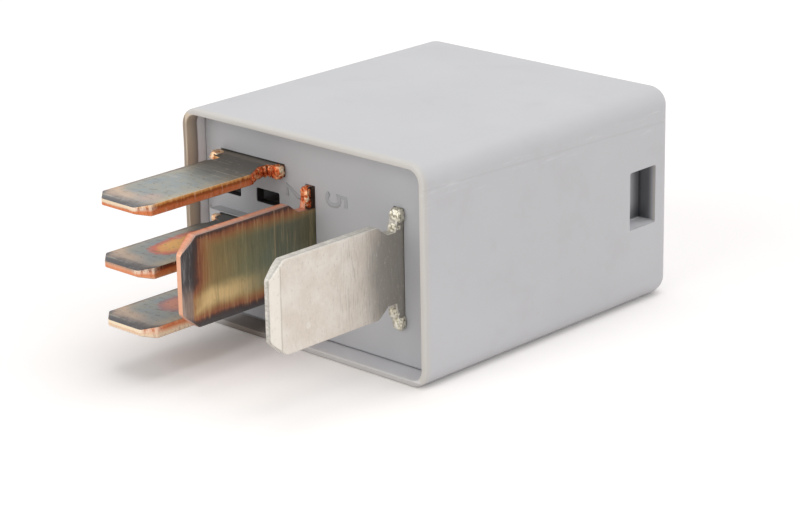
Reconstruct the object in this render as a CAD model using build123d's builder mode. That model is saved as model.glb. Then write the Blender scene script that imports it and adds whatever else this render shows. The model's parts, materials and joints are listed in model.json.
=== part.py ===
from build123d import *
import os
from math import cos, sin, radians

os.makedirs("parts", exist_ok=True)

# Five-blade automotive changeover relay of the micro size, lying on its long side.
# X runs across the body, Y along it with the blades toward -Y, and Z up.
# The origin is under the middle of the whole relay, on the surface it lies on.
# All lengths are in millimetres.

# Cover
cover_width = 22.7
cover_height = 15.3
cover_length = 25.8
cover_wall = 0.8
cover_end_wall = 0.9
long_edge_radius = 1.37
end_edge_radius = 1.3
cavity_end_radius = 0.5
rim_wall = 0.45
rim_outer_radius = 0.2
rim_inner_radius = 0.1

# Puller notches in the two narrow sides, near the closed end
notch_length = 2.85
notch_height = 4.2
notch_depth = 1.5
notch_from_end = 1.9
notch_rise = 0.2
notch_radius = 0.15
notch_wall = 0.6

# Base
base_recess = 1.7
flange_thickness = 1.7
plug_depth = 1.3
fit_gap = 0.05
face_chamfer = 0.12
skirt_wall = 0.4
skirt_height = 0.9
pad_height = 0.9
pad_margin = 0.12
pad_side_margin = 0.5
pad_skirt = 0.45
window_width = 2.25
window_height = 1.0
window_radius = 0.15
window_wall = 0.7
window_margin = 0.35
window_web = 1.55
window_inset = 2.05
window_lift = 2.08
rail_width = 1.5
rail_end_inset = 2.0
rail_length = 6.2
rail_back_wall = 0.8

# Stamped sheet of the terminals, and the blades
sheet = 0.8
blade_length = 12.6
wide_blade_length = 12.05
wide_blade = 6.3
narrow_blade = 4.8
wide_corner = 1.1
wide_corner_length = 1.25
narrow_corner = 0.8
narrow_corner_length = 0.8
corner_round = 0.35
tip_thickness = 0.45
tip_bevel_length = 0.8
shoulder_recess = 0.5

# Notch beside each blade's root: where it starts and ends, out from the base, and its depth
wide_neck = (2.4, 1.5, 0.7)
inner_neck = (2.9, 1.5, 0.8)
outer_neck = (2.6, 2.1, 0.3)
neck_radius = 0.3

# Ears sheared out of the notches: how far they stand out, and their reach past the blade's edge
wide_ear_out = 0.55
upper_ear_reach = 0.72
lower_ear_reach = 1.12
inner_ear_out = 0.5
inner_ear_reach = 0.2
outer_ear_out = 1.4
outer_ear_reach = 1.15
pad_ear_out = 0.9
pad_ear_reach = 0.55
ear_ease = 0.15
ear_side_share = 0.6
pinched_ear = 0.55

# Where the blades stand
column_from_side = 5.7
column_pitch = 4.2
middle_row_drop = 0.1
open_blade_x = -0.6
open_blade_drop = 0.25
common_from_side = 3.82
common_blade_drop = 0.15

# Feet of the two coil terminals inside
head_thickness = 0.8
head_overlap = 0.4
post_width = 1.2
post_height = 2.1
inner_post_inset = 0.35
outer_post_overhang = 0.3

# Coil
core_clearance = 0.05
pole_overhang = 1.3
pole_thickness = 0.9
tail_step = 0.7
tail_head_overhang = 0.5
tail_head_height = 0.4
barrel_wall = 0.65
bobbin_flange = 0.8
bobbin_to_cover = 0.65
bobbin_to_contact = 3.05
bobbin_radius = 1.0
winding_inset = 0.25
core_share = 0.45
lead_radius = 0.12
lead_start_share = 0.8
lead_clearance = 0.01
lead_bend = 0.5
lead_wrap = 0.7

# Yoke
yoke_thickness = 1.4
yoke_width = 9.0
yoke_to_wall = 1.85
yoke_lift = 2.3
yoke_past_core = 3.4
yoke_outer_bend = 2.0
yoke_inner_bend = 0.6
yoke_plating = 0.03
lug_height = 0.9
lug_width = 1.2
bobbin_to_yoke = 0.05

# Armature and its leaf spring
open_angle = 2.6
armature_thickness = 1.2
armature_to_contact = 2.0
armature_nose_width = 5.0
armature_nose_length = 1.6
heel_length = 1.6
heel_gap = 0.2
film = 0.03
leaf = 0.25
leaf_width = 8.9
leaf_overhang = 1.7
leaf_arm_width = 4.0
leaf_arm_setback = 0.4
knee_out = 1.0
knee_radius = 0.8
knee_drop = 1.7
knee_return = 1.1
knee_ease = 0.5
knee_window_width = 6.1
knee_window_reach = 1.3
knee_window_drop = 0.7
leaf_to_tab = 1.6
leaf_end_margin = 1.6

# Rivets
rivet_radius = 0.7
rivet_clearance = 0.02
rivet_head_radius = 1.2
rivet_head_height = 0.45
rivet_head_angle = 12
armature_rivet_reach = 5.2
armature_rivet_pitch = 5.2
yoke_rivet_pitch = 4.8
terminal_rivet_lift = 2.9
terminal_rivet_pitch = 3.6

# Contacts
contact_to_wall = 3.85
contact_radius = 1.4
contact_height = 0.55
contact_shank_radius = 0.75
contact_round = 0.2
contact_gap = 0.04

# Strips that carry the fixed contacts and the common terminal
strip_bend = 0.8
strip_foot_bend = 0.5
strip_past_contact = 0.2
strip_to_cover = 0.52
strip_to_bobbin = 0.25
open_strip_width = 5.0
closed_strip_width = 2.8
closed_strip_lift = 1.8
closed_strip_side_gap = 0.5
common_tab_width = 5.6
common_tab_lift = 0.4
common_joggle = 1.8
common_tab_length = 5.1
common_bend = 0.6

# Resistor across the coil
resistor_radius = 1.05
resistor_length = 6.0
resistor_lift = 4.8
resistor_round = 0.3
resistor_lead_radius = 0.25
resistor_lead_bend = 0.6
resistor_lead_wrap = 0.6

# How far a shape that cuts a hole runs past what it cuts
cut_past = 1.0

# Places worked out from the sizes above
mid_z = cover_height / 2
mouth_y = (blade_length - base_recess - cover_length) / 2
end_y = mouth_y + cover_length
base_face = mouth_y + base_recess
flange_back = base_face + flange_thickness
base_inner = flange_back + plug_depth
base_depth = base_inner - base_face
half_sheet = sheet / 2
column_x = column_from_side - cover_width / 2
column_rows = (mid_z - column_pitch, mid_z - middle_row_drop, mid_z + column_pitch)
column_low, column_middle, column_high = column_rows
open_blade_z = mid_z - open_blade_drop
common_blade_x = cover_width / 2 - common_from_side
common_blade_z = mid_z - common_blade_drop

wide_low = wide_blade / 2 + lower_ear_reach
wide_high = wide_blade / 2 + upper_ear_reach
narrow_low = narrow_blade / 2 + outer_ear_reach
narrow_high = narrow_blade / 2 + inner_ear_reach
pad_low = narrow_blade / 2 + pad_ear_reach
column_left = column_x - narrow_low
column_right = column_x + narrow_high

inner_wall_x = cover_width / 2 - cover_wall
yoke_back_x = inner_wall_x - yoke_to_wall
yoke_front_x = yoke_back_x - yoke_thickness
pivot_x = yoke_back_x
contact_x = contact_to_wall - inner_wall_x
contact_reach = pivot_x - contact_x
armature_length = contact_reach - contact_radius - armature_to_contact
leaf_arm_start = armature_length + leaf_arm_setback

bobbin_left_x = contact_x + bobbin_to_contact
bobbin_right_x = yoke_front_x - yoke_inner_bend - bobbin_to_yoke
bobbin_width = bobbin_right_x - bobbin_left_x
bobbin_height = cover_height - 2 * (cover_wall + bobbin_to_cover)
winding_radius = bobbin_width / 2 - winding_inset
core_radius = winding_radius * core_share
barrel_radius = core_radius + core_clearance + barrel_wall
pole_radius = core_radius + pole_overhang
tail_radius = core_radius - tail_step
tail_head_radius = tail_radius + tail_head_overhang
coil_x = (bobbin_left_x + bobbin_right_x) / 2
yoke_foot_end = coil_x - yoke_past_core
open_strip_x = bobbin_left_x - strip_to_bobbin - half_sheet

# The fixed contact nearest the closed end sets the hinge, and the hinge sets the coil's length
lean = radians(open_angle)
leaf_seat = film + armature_thickness
moving_top = leaf_seat + leaf + contact_height
closed_arm_y = end_y - cover_end_wall - strip_to_cover - half_sheet
closed_contact_face = closed_arm_y - half_sheet - contact_height
pivot_y = (closed_contact_face - contact_gap - contact_reach * sin(lean)
           - moving_top * cos(lean) - contact_radius * sin(lean))
open_contact_face = pivot_y + leaf_seat - contact_height - contact_gap
open_arm_y = open_contact_face - contact_height - half_sheet
pole_seat_y = pivot_y - pole_thickness
yoke_foot_y = base_inner + yoke_lift
bobbin_foot_y = yoke_foot_y + yoke_thickness
bobbin_length = pole_seat_y - bobbin_foot_y

# The common terminal's tab starts at the yoke's foot, and the spring's foot ends above it
tab_start_y = base_inner + common_tab_lift
tab_foot_y = tab_start_y + common_joggle
tab_end_y = tab_foot_y + common_tab_length
terminal_rivet_y = tab_foot_y + terminal_rivet_lift
leaf_end_y = tab_end_y + leaf_to_tab
yoke_rivet_y = leaf_end_y + leaf_end_margin


def face_at(y):
    """Plane across the relay at the given Y, with X across and Z up, facing the blades."""
    return Plane.XZ.offset(-y)


def on_arm(distance, height):
    """Point at rest, from the hinge line along the armature and above its seat."""
    return (pivot_x - distance * cos(lean) + height * sin(lean),
            pivot_y + distance * sin(lean) + height * cos(lean))


arm_plane = Plane(origin=(pivot_x, pivot_y, mid_z),
                  x_dir=(-cos(lean), sin(lean), 0), z_dir=(sin(lean), cos(lean), 0))


def flat_plane(z):
    """Plane of a lying blade: X across it, and its second axis toward the base."""
    return Plane(origin=(column_x, base_face, z), x_dir=(1, 0, 0), z_dir=(0, 0, 1))


def upright_plane(x, z):
    """Plane of an upright blade: Z across it, and its second axis toward the base."""
    return Plane(origin=(x, base_face, z), x_dir=(0, 0, 1), z_dir=(-1, 0, 0))


def flank(half, reach, neck, out, raised=0):
    """Points down one side of a blade, across it and out from the base: the notch, then the ear."""
    neck_start, neck_end, neck_depth = neck
    root = half - neck_depth
    return [(half, neck_start + raised), (root, neck_end + raised), (root, out + ear_ease + raised),
            ((root + half + reach) / 2, out + raised), (half + reach, out * ear_side_share + raised),
            (half + reach, 0)]


def blade_with_ears(plane, length, width, corner, corner_length, low_side, high_side, ear_sheet=sheet):
    """Bevelled blade with a notch and a sheared ear on each side, and the root that fills its slot."""
    half = width / 2
    low = low_side[-1][0]
    high = high_side[-1][0]
    side = Plane(origin=plane.origin, x_dir=plane.y_dir, z_dir=plane.x_dir)
    with BuildPart() as blade:
        with BuildSketch(plane) as outline:
            with BuildLine():
                Polyline([(corner - half, -length), (half - corner, -length), (half, corner_length - length)]
                         + [(across, -out) for across, out in high_side[:2]]
                         + [(high_side[1][0], 0), (-low_side[1][0], 0)]
                         + [(-across, -out) for across, out in reversed(low_side[:2])]
                         + [(-half, corner_length - length)], close=True)
            make_face()
            corners = outline.vertices().sort_by(Axis.Y)
            fillet(corners[:4], corner_round)
            necks = outline.vertices().sort_by(Axis.Y)[8:12]
            fillet(necks, neck_radius)
        extrude(amount=half_sheet, both=True)
        with BuildSketch(side):
            with BuildLine():
                Polyline((-length, 0), (-length, tip_thickness / 2), (tip_bevel_length - length, half_sheet),
                         (0, half_sheet), (0, 0), close=True)
            make_face()
            mirror(about=Plane.XZ)
        extrude(amount=width, both=True, mode=Mode.INTERSECT)
        with BuildSketch(plane):
            with Locations((-low, 0)):
                Rectangle(low + high, base_depth - shoulder_recess, align=(Align.MIN, Align.MIN))
        extrude(amount=half_sheet, both=True)
        with BuildSketch(plane.offset(half_sheet - ear_sheet)):
            for direction, points in ((1, high_side), (-1, low_side)):
                with BuildLine():
                    Polyline([(direction * points[2][0] / 2, 0), (direction * points[2][0] / 2, -points[2][1])]
                             + [(direction * across, -out) for across, out in points[2:]], close=True)
                make_face()
        extrude(amount=ear_sheet)
    return blade.part


def rivet_at(plane, length):
    """Round rivet along the plane's normal: a shank below the plane and a head above it."""
    with BuildPart() as rivet:
        with BuildSketch(plane):
            Circle(rivet_radius)
        extrude(amount=-length)
        with BuildSketch(plane):
            Circle(rivet_head_radius)
        extrude(amount=rivet_head_height, taper=rivet_head_angle)
    return rivet.part


# Cover: moulded box, open at the blade end, with a thin rim round the base
with BuildPart() as cover:
    with BuildSketch(face_at(mouth_y)):
        with Locations((0, mid_z)):
            RectangleRounded(cover_width, cover_height, long_edge_radius)
    extrude(amount=-cover_length)
    fillet(cover.faces().sort_by(Axis.Y)[-1].edges(), end_edge_radius)
    with BuildSketch(face_at(mouth_y)):
        with Locations((0, mid_z)):
            RectangleRounded(cover_width - 2 * cover_wall, cover_height - 2 * cover_wall,
                             long_edge_radius - cover_wall)
    extrude(amount=-(cover_length - cover_end_wall), mode=Mode.SUBTRACT)
    cavity_end = cover.faces().filter_by(Axis.Y).sort_by(Axis.Y)[-2]
    fillet(cavity_end.edges(), cavity_end_radius)
    with BuildSketch(face_at(mouth_y)):
        with Locations((0, mid_z)):
            RectangleRounded(cover_width - 2 * rim_wall, cover_height - 2 * rim_wall,
                             long_edge_radius - rim_wall)
    extrude(amount=-(base_recess + flange_thickness), mode=Mode.SUBTRACT)
    rim = cover.faces().sort_by(Axis.Y)[0]
    fillet(rim.outer_wire().edges(), rim_outer_radius)
    rim = cover.faces().filter_by(Axis.Y).sort_by(Axis.Y)[0]
    fillet(rim.inner_wires()[0].edges(), rim_inner_radius)
    notch_y = end_y - notch_from_end - notch_length / 2
    notch_z = mid_z + notch_rise
    for side in (1, -1):
        skin = Plane.YZ.offset(side * cover_width / 2)
        with BuildSketch(skin):
            with Locations((notch_y, notch_z)):
                Rectangle(notch_length + 2 * notch_wall, notch_height + 2 * notch_wall)
        extrude(amount=-side * (notch_depth + notch_wall))
        with BuildSketch(skin):
            with Locations((notch_y, notch_z)):
                RectangleRounded(notch_length, notch_height, notch_radius)
        extrude(amount=-side * notch_depth, mode=Mode.SUBTRACT)
cover.part.label = "cover"

# Base: moulded plate that closes the cover, with a slot for each terminal
slot_gap = half_sheet + fit_gap
window_x = column_x + window_inset - window_width / 2
window_z = column_middle + window_lift
rail_x = yoke_back_x - rail_end_inset - rail_length
with BuildPart() as base:
    with BuildSketch(face_at(base_face)):
        with Locations((0, mid_z)):
            RectangleRounded(cover_width - 2 * (rim_wall + fit_gap),
                             cover_height - 2 * (rim_wall + fit_gap),
                             long_edge_radius - rim_wall - fit_gap)
    extrude(amount=-flange_thickness)
    chamfer(base.faces().sort_by(Axis.Y)[0].edges(), face_chamfer)
    with BuildSketch(face_at(flange_back)) as plug_outline:
        with Locations((0, mid_z)):
            RectangleRounded(cover_width - 2 * (cover_wall + fit_gap),
                             cover_height - 2 * (cover_wall + fit_gap),
                             long_edge_radius - cover_wall - fit_gap)
    extrude(amount=-(plug_depth + skirt_height))
    with BuildSketch(face_at(base_inner)):
        with Locations((0, mid_z)):
            Rectangle(cover_width - 2 * (cover_wall + fit_gap + skirt_wall),
                      cover_height - 2 * (cover_wall + fit_gap + skirt_wall))
    extrude(amount=-skirt_height, mode=Mode.SUBTRACT)
    # Raised pad round the middle slot of the column
    with BuildSketch(face_at(base_face)):
        with Locations(((column_left + column_right) / 2, column_middle + (pad_margin - pad_skirt) / 2)):
            Rectangle(column_right - column_left + 2 * pad_side_margin, sheet + pad_margin + pad_skirt)
    extrude(amount=pad_height)
    # Rails inside, which carry the foot of the yoke
    with BuildSketch(face_at(base_inner)):
        with Locations((rail_x + rail_length / 2, mid_z)):
            Rectangle(rail_length, yoke_width)
        with Locations((rail_x + (rail_length - rail_back_wall) / 2, mid_z)):
            Rectangle(rail_length - rail_back_wall, yoke_width - 2 * rail_width, mode=Mode.SUBTRACT)
    extrude(amount=-yoke_lift)
    # Slots for the terminals, and two tool windows in a thinner part of the plate
    with BuildSketch(face_at(base_face - pad_height)):
        for row_z, low in zip(column_rows, (narrow_low, pad_low, narrow_low)):
            with Locations((column_x + (narrow_high - low) / 2, row_z)):
                Rectangle(low + narrow_high + 2 * fit_gap, 2 * slot_gap)
        for blade_x, blade_z in ((open_blade_x, open_blade_z), (common_blade_x, common_blade_z)):
            with Locations((blade_x, blade_z + (wide_high - wide_low) / 2)):
                Rectangle(2 * slot_gap, wide_low + wide_high + 2 * fit_gap)
        with Locations((window_x, window_z), (window_x - window_width - window_web, window_z)):
            RectangleRounded(window_width, window_height, window_radius)
    extrude(amount=-(pad_height + base_depth), mode=Mode.SUBTRACT)
    with BuildSketch(face_at(base_face + window_wall)):
        with Locations((window_x - (window_width + window_web) / 2, window_z)):
            Rectangle(2 * (window_width + window_margin) + window_web, window_height + 2 * window_margin)
    extrude(amount=window_wall - base_depth, mode=Mode.SUBTRACT)
base.part.label = "base"


def coil_terminal(z):
    """Narrow blade with a head that stops on the base and two posts for wires."""
    plane = flat_plane(z)
    with BuildPart() as terminal:
        add(blade_with_ears(plane, blade_length, narrow_blade, narrow_corner, narrow_corner_length,
                            flank(narrow_blade / 2, outer_ear_reach, outer_neck, outer_ear_out),
                            flank(narrow_blade / 2, inner_ear_reach, inner_neck, inner_ear_out)))
        with BuildSketch(plane):
            with Locations((-narrow_low, base_depth - shoulder_recess)):
                Rectangle(narrow_low + narrow_high, shoulder_recess, align=(Align.MIN, Align.MIN))
            with Locations((-narrow_low - head_overlap, base_depth)):
                Rectangle(narrow_low + narrow_high + 2 * head_overlap, head_thickness,
                          align=(Align.MIN, Align.MIN))
            with Locations((narrow_high - inner_post_inset - post_width, base_depth),
                           (-narrow_low - outer_post_overhang, base_depth)):
                Rectangle(post_width, head_thickness + post_height, align=(Align.MIN, Align.MIN))
        extrude(amount=half_sheet, both=True)
    return terminal


# Coil terminals: the lowest and the highest blade of the column
coil_terminal_low = coil_terminal(column_low)
coil_terminal_low.part.label = "coil_terminal_low"
coil_terminal_high = coil_terminal(column_high)
coil_terminal_high.part.label = "coil_terminal_high"

# Normally closed terminal: middle blade of the column, whose strip climbs over the contacts
with BuildPart() as closed_terminal:
    add(blade_with_ears(flat_plane(column_middle), blade_length, narrow_blade, narrow_corner,
                        narrow_corner_length,
                        flank(narrow_blade / 2, pad_ear_reach, outer_neck, pad_ear_out, pad_height),
                        flank(narrow_blade / 2, inner_ear_reach, inner_neck, inner_ear_out, pad_height)))
    closed_wall_z = cover_height - cover_wall - closed_strip_side_gap - half_sheet
    closed_bend_y = base_inner + closed_strip_lift
    closed_start_y = base_inner - shoulder_recess - half_sheet
    with BuildSketch(Plane.YZ.offset(contact_x - closed_strip_width / 2)):
        with BuildLine():
            FilletPolyline((closed_start_y, column_middle), (closed_bend_y, column_middle),
                           (closed_bend_y, closed_wall_z), (closed_arm_y, closed_wall_z),
                           (closed_arm_y, mid_z - contact_radius - strip_past_contact), radius=strip_bend)
        trace(line_width=sheet)
    extrude(amount=closed_strip_width)
    with BuildSketch(face_at(closed_contact_face)):
        with Locations((contact_x, mid_z)):
            Circle(contact_shank_radius + rivet_clearance)
    extrude(amount=-(contact_height + sheet + cut_past), mode=Mode.SUBTRACT)
closed_terminal.part.label = "normally_closed_terminal"

# Outline that the two upright blades share
wide_outline = (wide_blade_length, wide_blade, wide_corner, wide_corner_length,
                flank(wide_blade / 2, lower_ear_reach, wide_neck, wide_ear_out),
                flank(wide_blade / 2, upper_ear_reach, wide_neck, wide_ear_out))

# Normally open terminal: upright blade in the middle, whose strip passes beside the coil
with BuildPart() as open_terminal:
    add(blade_with_ears(upright_plane(open_blade_x, open_blade_z), *wide_outline, ear_sheet=pinched_ear))
    open_foot_y = base_inner + half_sheet
    with BuildSketch(Plane.XY.offset(mid_z)):
        with BuildLine():
            FilletPolyline((open_blade_x, base_inner - shoulder_recess - half_sheet),
                           (open_blade_x, open_foot_y), (open_strip_x, open_foot_y),
                           (open_strip_x, open_arm_y),
                           (contact_x - contact_radius - strip_past_contact, open_arm_y),
                           radius=[strip_foot_bend, strip_bend, strip_bend])
        trace(line_width=sheet)
    extrude(amount=open_strip_width / 2, both=True)
    with BuildSketch(face_at(open_contact_face)):
        with Locations((contact_x, mid_z)):
            Circle(contact_shank_radius + rivet_clearance)
    extrude(amount=contact_height + sheet + cut_past, mode=Mode.SUBTRACT)
open_terminal.part.label = "normally_open_terminal"

# Common terminal: upright blade at the side, joggled outward to lie on the yoke's back
with BuildPart() as common_terminal:
    add(blade_with_ears(upright_plane(common_blade_x, common_blade_z), *wide_outline))
    tab_x = yoke_back_x + half_sheet
    with BuildSketch(Plane.XY.offset(mid_z)):
        with BuildLine():
            FilletPolyline((common_blade_x, base_inner - shoulder_recess - half_sheet),
                           (common_blade_x, tab_start_y), (tab_x, tab_foot_y),
                           (tab_x, tab_end_y), radius=common_bend)
        trace(line_width=sheet)
    extrude(amount=common_tab_width / 2, both=True)
    with BuildSketch(Plane.YZ.offset(tab_x)):
        with Locations((terminal_rivet_y, mid_z)):
            with GridLocations(1, terminal_rivet_pitch, 1, 2):
                Circle(rivet_radius + rivet_clearance)
    extrude(amount=sheet, both=True, mode=Mode.SUBTRACT)
common_terminal.part.label = "common_terminal"

# Bobbin: moulded reel between the yoke's foot and the pole
with BuildPart() as bobbin:
    with BuildSketch(face_at(bobbin_foot_y), face_at(pole_seat_y - bobbin_flange)):
        with Locations((coil_x, mid_z)):
            RectangleRounded(bobbin_width, bobbin_height, bobbin_radius)
    extrude(amount=-bobbin_flange)
    with BuildSketch(face_at(bobbin_foot_y)):
        with Locations((coil_x, mid_z)):
            Circle(barrel_radius)
    extrude(amount=-bobbin_length)
    with BuildSketch(face_at(bobbin_foot_y)):
        with Locations((coil_x, mid_z)):
            Circle(core_radius + core_clearance)
    extrude(amount=-bobbin_length, mode=Mode.SUBTRACT)
bobbin.part.label = "coil_bobbin"

# Winding: one enamelled wire, with a lead from its first and from its last turn
winding_start = bobbin_foot_y + bobbin_flange
winding_length = bobbin_length - 2 * bobbin_flange
inner_post_x = column_right - inner_post_inset - post_width / 2
lead_y = winding_start + 2 * lead_radius
with BuildPart() as winding:
    with BuildSketch(face_at(winding_start)):
        with Locations((coil_x, mid_z)):
            Circle(winding_radius)
            Circle(barrel_radius, mode=Mode.SUBTRACT)
    extrude(amount=-winding_length)
    fillet(winding.edges().filter_by(GeomType.CIRCLE).group_by(SortBy.RADIUS)[-1], lead_radius)
    for side in (1, -1):
        lead_start_z = mid_z + side * winding_radius * lead_start_share
        lead_z = mid_z + side * (column_pitch + half_sheet + lead_radius + lead_clearance)
        with BuildLine() as lead_path:
            FilletPolyline((coil_x, lead_y, lead_start_z), (coil_x, lead_y, lead_z),
                           (inner_post_x, lead_y, lead_z),
                           (inner_post_x, base_inner + head_thickness + lead_wrap, lead_z),
                           radius=lead_bend)
        with BuildSketch(Plane(origin=lead_path.line @ 0, z_dir=lead_path.line % 0)):
            Circle(lead_radius)
        sweep(path=lead_path.line)
winding.part.label = "coil_winding"

# Core: turned iron pin with a pole face at its end, staked under the yoke
with BuildPart() as core:
    with BuildSketch(Plane(origin=(coil_x, 0, mid_z))):
        with BuildLine():
            Polyline((0, yoke_foot_y - tail_head_height),
                     (tail_head_radius, yoke_foot_y - tail_head_height),
                     (tail_head_radius, yoke_foot_y), (tail_radius, yoke_foot_y),
                     (tail_radius, bobbin_foot_y), (core_radius, bobbin_foot_y),
                     (core_radius, pole_seat_y), (pole_radius, pole_seat_y),
                     (pole_radius, pivot_y - yoke_plating), (0, pivot_y - yoke_plating), close=True)
        make_face()
    revolve(axis=Axis(origin=(coil_x, 0, mid_z), direction=(0, 1, 0)))
core.part.label = "coil_core"

# Yoke: steel strip folded to an L, with two lugs beside the armature's heel
yoke_top_y = pivot_y - yoke_plating
with BuildPart() as yoke:
    with BuildSketch(Plane.XY.offset(mid_z)) as yoke_profile:
        with BuildLine():
            Polyline((yoke_foot_end, yoke_foot_y), (yoke_back_x, yoke_foot_y), (yoke_back_x, yoke_top_y),
                     (yoke_front_x, yoke_top_y), (yoke_front_x, bobbin_foot_y),
                     (yoke_foot_end, bobbin_foot_y), close=True)
        make_face()
        fillet(yoke_profile.vertices().group_by(Axis.Y)[0].sort_by(Axis.X)[-1], yoke_outer_bend)
        fillet(yoke_profile.vertices().sort_by_distance((yoke_front_x, bobbin_foot_y))[0], yoke_inner_bend)
    extrude(amount=yoke_width / 2, both=True)
    with BuildSketch(face_at(yoke_top_y)):
        with Locations(((yoke_front_x + yoke_back_x) / 2, mid_z)):
            with GridLocations(1, yoke_width - lug_width, 1, 2):
                Rectangle(yoke_thickness, lug_width)
    extrude(amount=-lug_height)
    with BuildSketch(face_at(yoke_foot_y)):
        with Locations((coil_x, mid_z)):
            Circle(tail_radius + rivet_clearance)
    extrude(amount=-yoke_thickness, mode=Mode.SUBTRACT)
    with BuildSketch(Plane.YZ.offset(yoke_front_x)):
        with Locations((yoke_rivet_y, mid_z)):
            with GridLocations(1, yoke_rivet_pitch, 1, 2):
                Circle(rivet_radius + rivet_clearance)
        with Locations((terminal_rivet_y, mid_z)):
            with GridLocations(1, terminal_rivet_pitch, 1, 2):
                Circle(rivet_radius + rivet_clearance)
    extrude(amount=yoke_thickness, mode=Mode.SUBTRACT)
yoke.part.label = "yoke"

# Armature: flat iron plate that rocks on the end of the yoke
heel_half = yoke_width / 2 - lug_width - heel_gap
with BuildPart() as armature:
    with BuildSketch(arm_plane.offset(film)):
        with BuildLine():
            Polyline((0, 0), (0, heel_half), (heel_length, heel_half), (heel_length, yoke_width / 2),
                     (armature_length - armature_nose_length, yoke_width / 2),
                     (armature_length, armature_nose_width / 2), (armature_length, 0), close=True)
        make_face()
        mirror(about=Plane.XZ)
        with Locations((armature_rivet_reach, 0)):
            with GridLocations(1, armature_rivet_pitch, 1, 2):
                Circle(rivet_radius + rivet_clearance, mode=Mode.SUBTRACT)
    extrude(amount=armature_thickness)
armature.part.label = "armature"

# Contact spring: one leaf, riveted to the armature, round the knee and down the yoke's back
leaf_mid = leaf_seat + leaf / 2
knee_x = yoke_back_x + knee_out
leaf_back_x = yoke_back_x + leaf / 2
knee_top = on_arm(-knee_out, leaf_mid)
leaf_end_distance = contact_reach + leaf_overhang
with BuildPart() as contact_spring:
    with BuildSketch(Plane.XY.offset(mid_z)):
        with BuildLine():
            FilletPolyline(on_arm(leaf_end_distance, leaf_mid), knee_top,
                           (knee_x, pivot_y + leaf_mid - knee_drop),
                           (leaf_back_x, pivot_y + leaf_mid - knee_drop - knee_return),
                           (leaf_back_x, leaf_end_y),
                           radius=[knee_radius, knee_ease, knee_ease])
        trace(line_width=leaf)
    extrude(amount=leaf_width / 2, both=True)
    with BuildSketch(Plane.XY.offset(mid_z)):
        with Locations((yoke_back_x - knee_window_reach, pivot_y - knee_window_drop)):
            Rectangle(knee_window_reach + knee_out + cut_past, knee_window_drop + moving_top + cut_past,
                      align=(Align.MIN, Align.MIN))
    extrude(amount=knee_window_width / 2, both=True, mode=Mode.SUBTRACT)
    side_cut = (leaf_width - leaf_arm_width) / 2
    with BuildSketch(arm_plane):
        with Locations((leaf_arm_start + contact_reach / 2, 0)):
            with GridLocations(1, leaf_width - side_cut, 1, 2):
                Rectangle(contact_reach, side_cut)
        with Locations((armature_rivet_reach, 0)):
            with GridLocations(1, armature_rivet_pitch, 1, 2):
                Circle(rivet_radius + rivet_clearance)
        with Locations((contact_reach, 0)):
            Circle(contact_shank_radius + rivet_clearance)
    extrude(amount=leaf_seat + leaf + cut_past, mode=Mode.SUBTRACT)
    with BuildSketch(Plane.YZ.offset(yoke_back_x)):
        with Locations((yoke_rivet_y, mid_z)):
            with GridLocations(1, yoke_rivet_pitch, 1, 2):
                Circle(rivet_radius + rivet_clearance)
    extrude(amount=leaf, mode=Mode.SUBTRACT)
contact_spring.part.label = "contact_spring"

# Rivets: two pairs on the spring and one pair that joins the common terminal to the yoke
with BuildPart() as armature_rivets:
    for z in (-armature_rivet_pitch / 2, armature_rivet_pitch / 2):
        head = Plane(origin=arm_plane.from_local_coords((armature_rivet_reach, z, leaf_seat + leaf)),
                     z_dir=arm_plane.z_dir)
        add(rivet_at(head, armature_thickness + leaf))
armature_rivets.part.label = "armature_rivets"

with BuildPart() as yoke_rivets:
    for z in (mid_z - yoke_rivet_pitch / 2, mid_z + yoke_rivet_pitch / 2):
        head = Plane(origin=(yoke_back_x + leaf, yoke_rivet_y, z), z_dir=(1, 0, 0))
        add(rivet_at(head, leaf + yoke_thickness))
yoke_rivets.part.label = "yoke_rivets"

with BuildPart() as terminal_rivets:
    for z in (mid_z - terminal_rivet_pitch / 2, mid_z + terminal_rivet_pitch / 2):
        head = Plane(origin=(yoke_back_x + sheet, terminal_rivet_y, z), z_dir=(1, 0, 0))
        add(rivet_at(head, sheet + yoke_thickness))
terminal_rivets.part.label = "terminal_rivets"

# Moving contact: double-headed rivet at the end of the spring
with BuildPart() as moving_contact:
    with BuildSketch(arm_plane.offset(leaf_seat - contact_height)):
        with Locations((contact_reach, 0)):
            Circle(contact_radius)
    extrude(amount=contact_height)
    with BuildSketch(arm_plane.offset(leaf_seat)):
        with Locations((contact_reach, 0)):
            Circle(contact_shank_radius)
    extrude(amount=leaf)
    with BuildSketch(arm_plane.offset(leaf_seat + leaf)):
        with Locations((contact_reach, 0)):
            Circle(contact_radius)
    extrude(amount=contact_height)
    rims = moving_contact.edges().filter_by(GeomType.CIRCLE).sort_by(Axis.Y)
    fillet([rims[0], rims[-1]], contact_round)
moving_contact.part.label = "moving_contact"

# Fixed contacts: rivets in the two strips, which the moving contact switches between
with BuildPart() as open_contact:
    with BuildSketch(face_at(open_contact_face)):
        with Locations((contact_x, mid_z)):
            Circle(contact_radius)
    extrude(amount=contact_height)
    with BuildSketch(face_at(open_contact_face - contact_height)):
        with Locations((contact_x, mid_z)):
            Circle(contact_shank_radius)
    extrude(amount=sheet)
    fillet(open_contact.edges().filter_by(GeomType.CIRCLE).sort_by(Axis.Y)[-1], contact_round)
open_contact.part.label = "normally_open_contact"

with BuildPart() as closed_contact:
    with BuildSketch(face_at(closed_contact_face)):
        with Locations((contact_x, mid_z)):
            Circle(contact_radius)
    extrude(amount=-contact_height)
    with BuildSketch(face_at(closed_contact_face + contact_height)):
        with Locations((contact_x, mid_z)):
            Circle(contact_shank_radius)
    extrude(amount=-sheet)
    fillet(closed_contact.edges().filter_by(GeomType.CIRCLE).sort_by(Axis.Y)[0], contact_round)
closed_contact.part.label = "normally_closed_contact"

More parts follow.
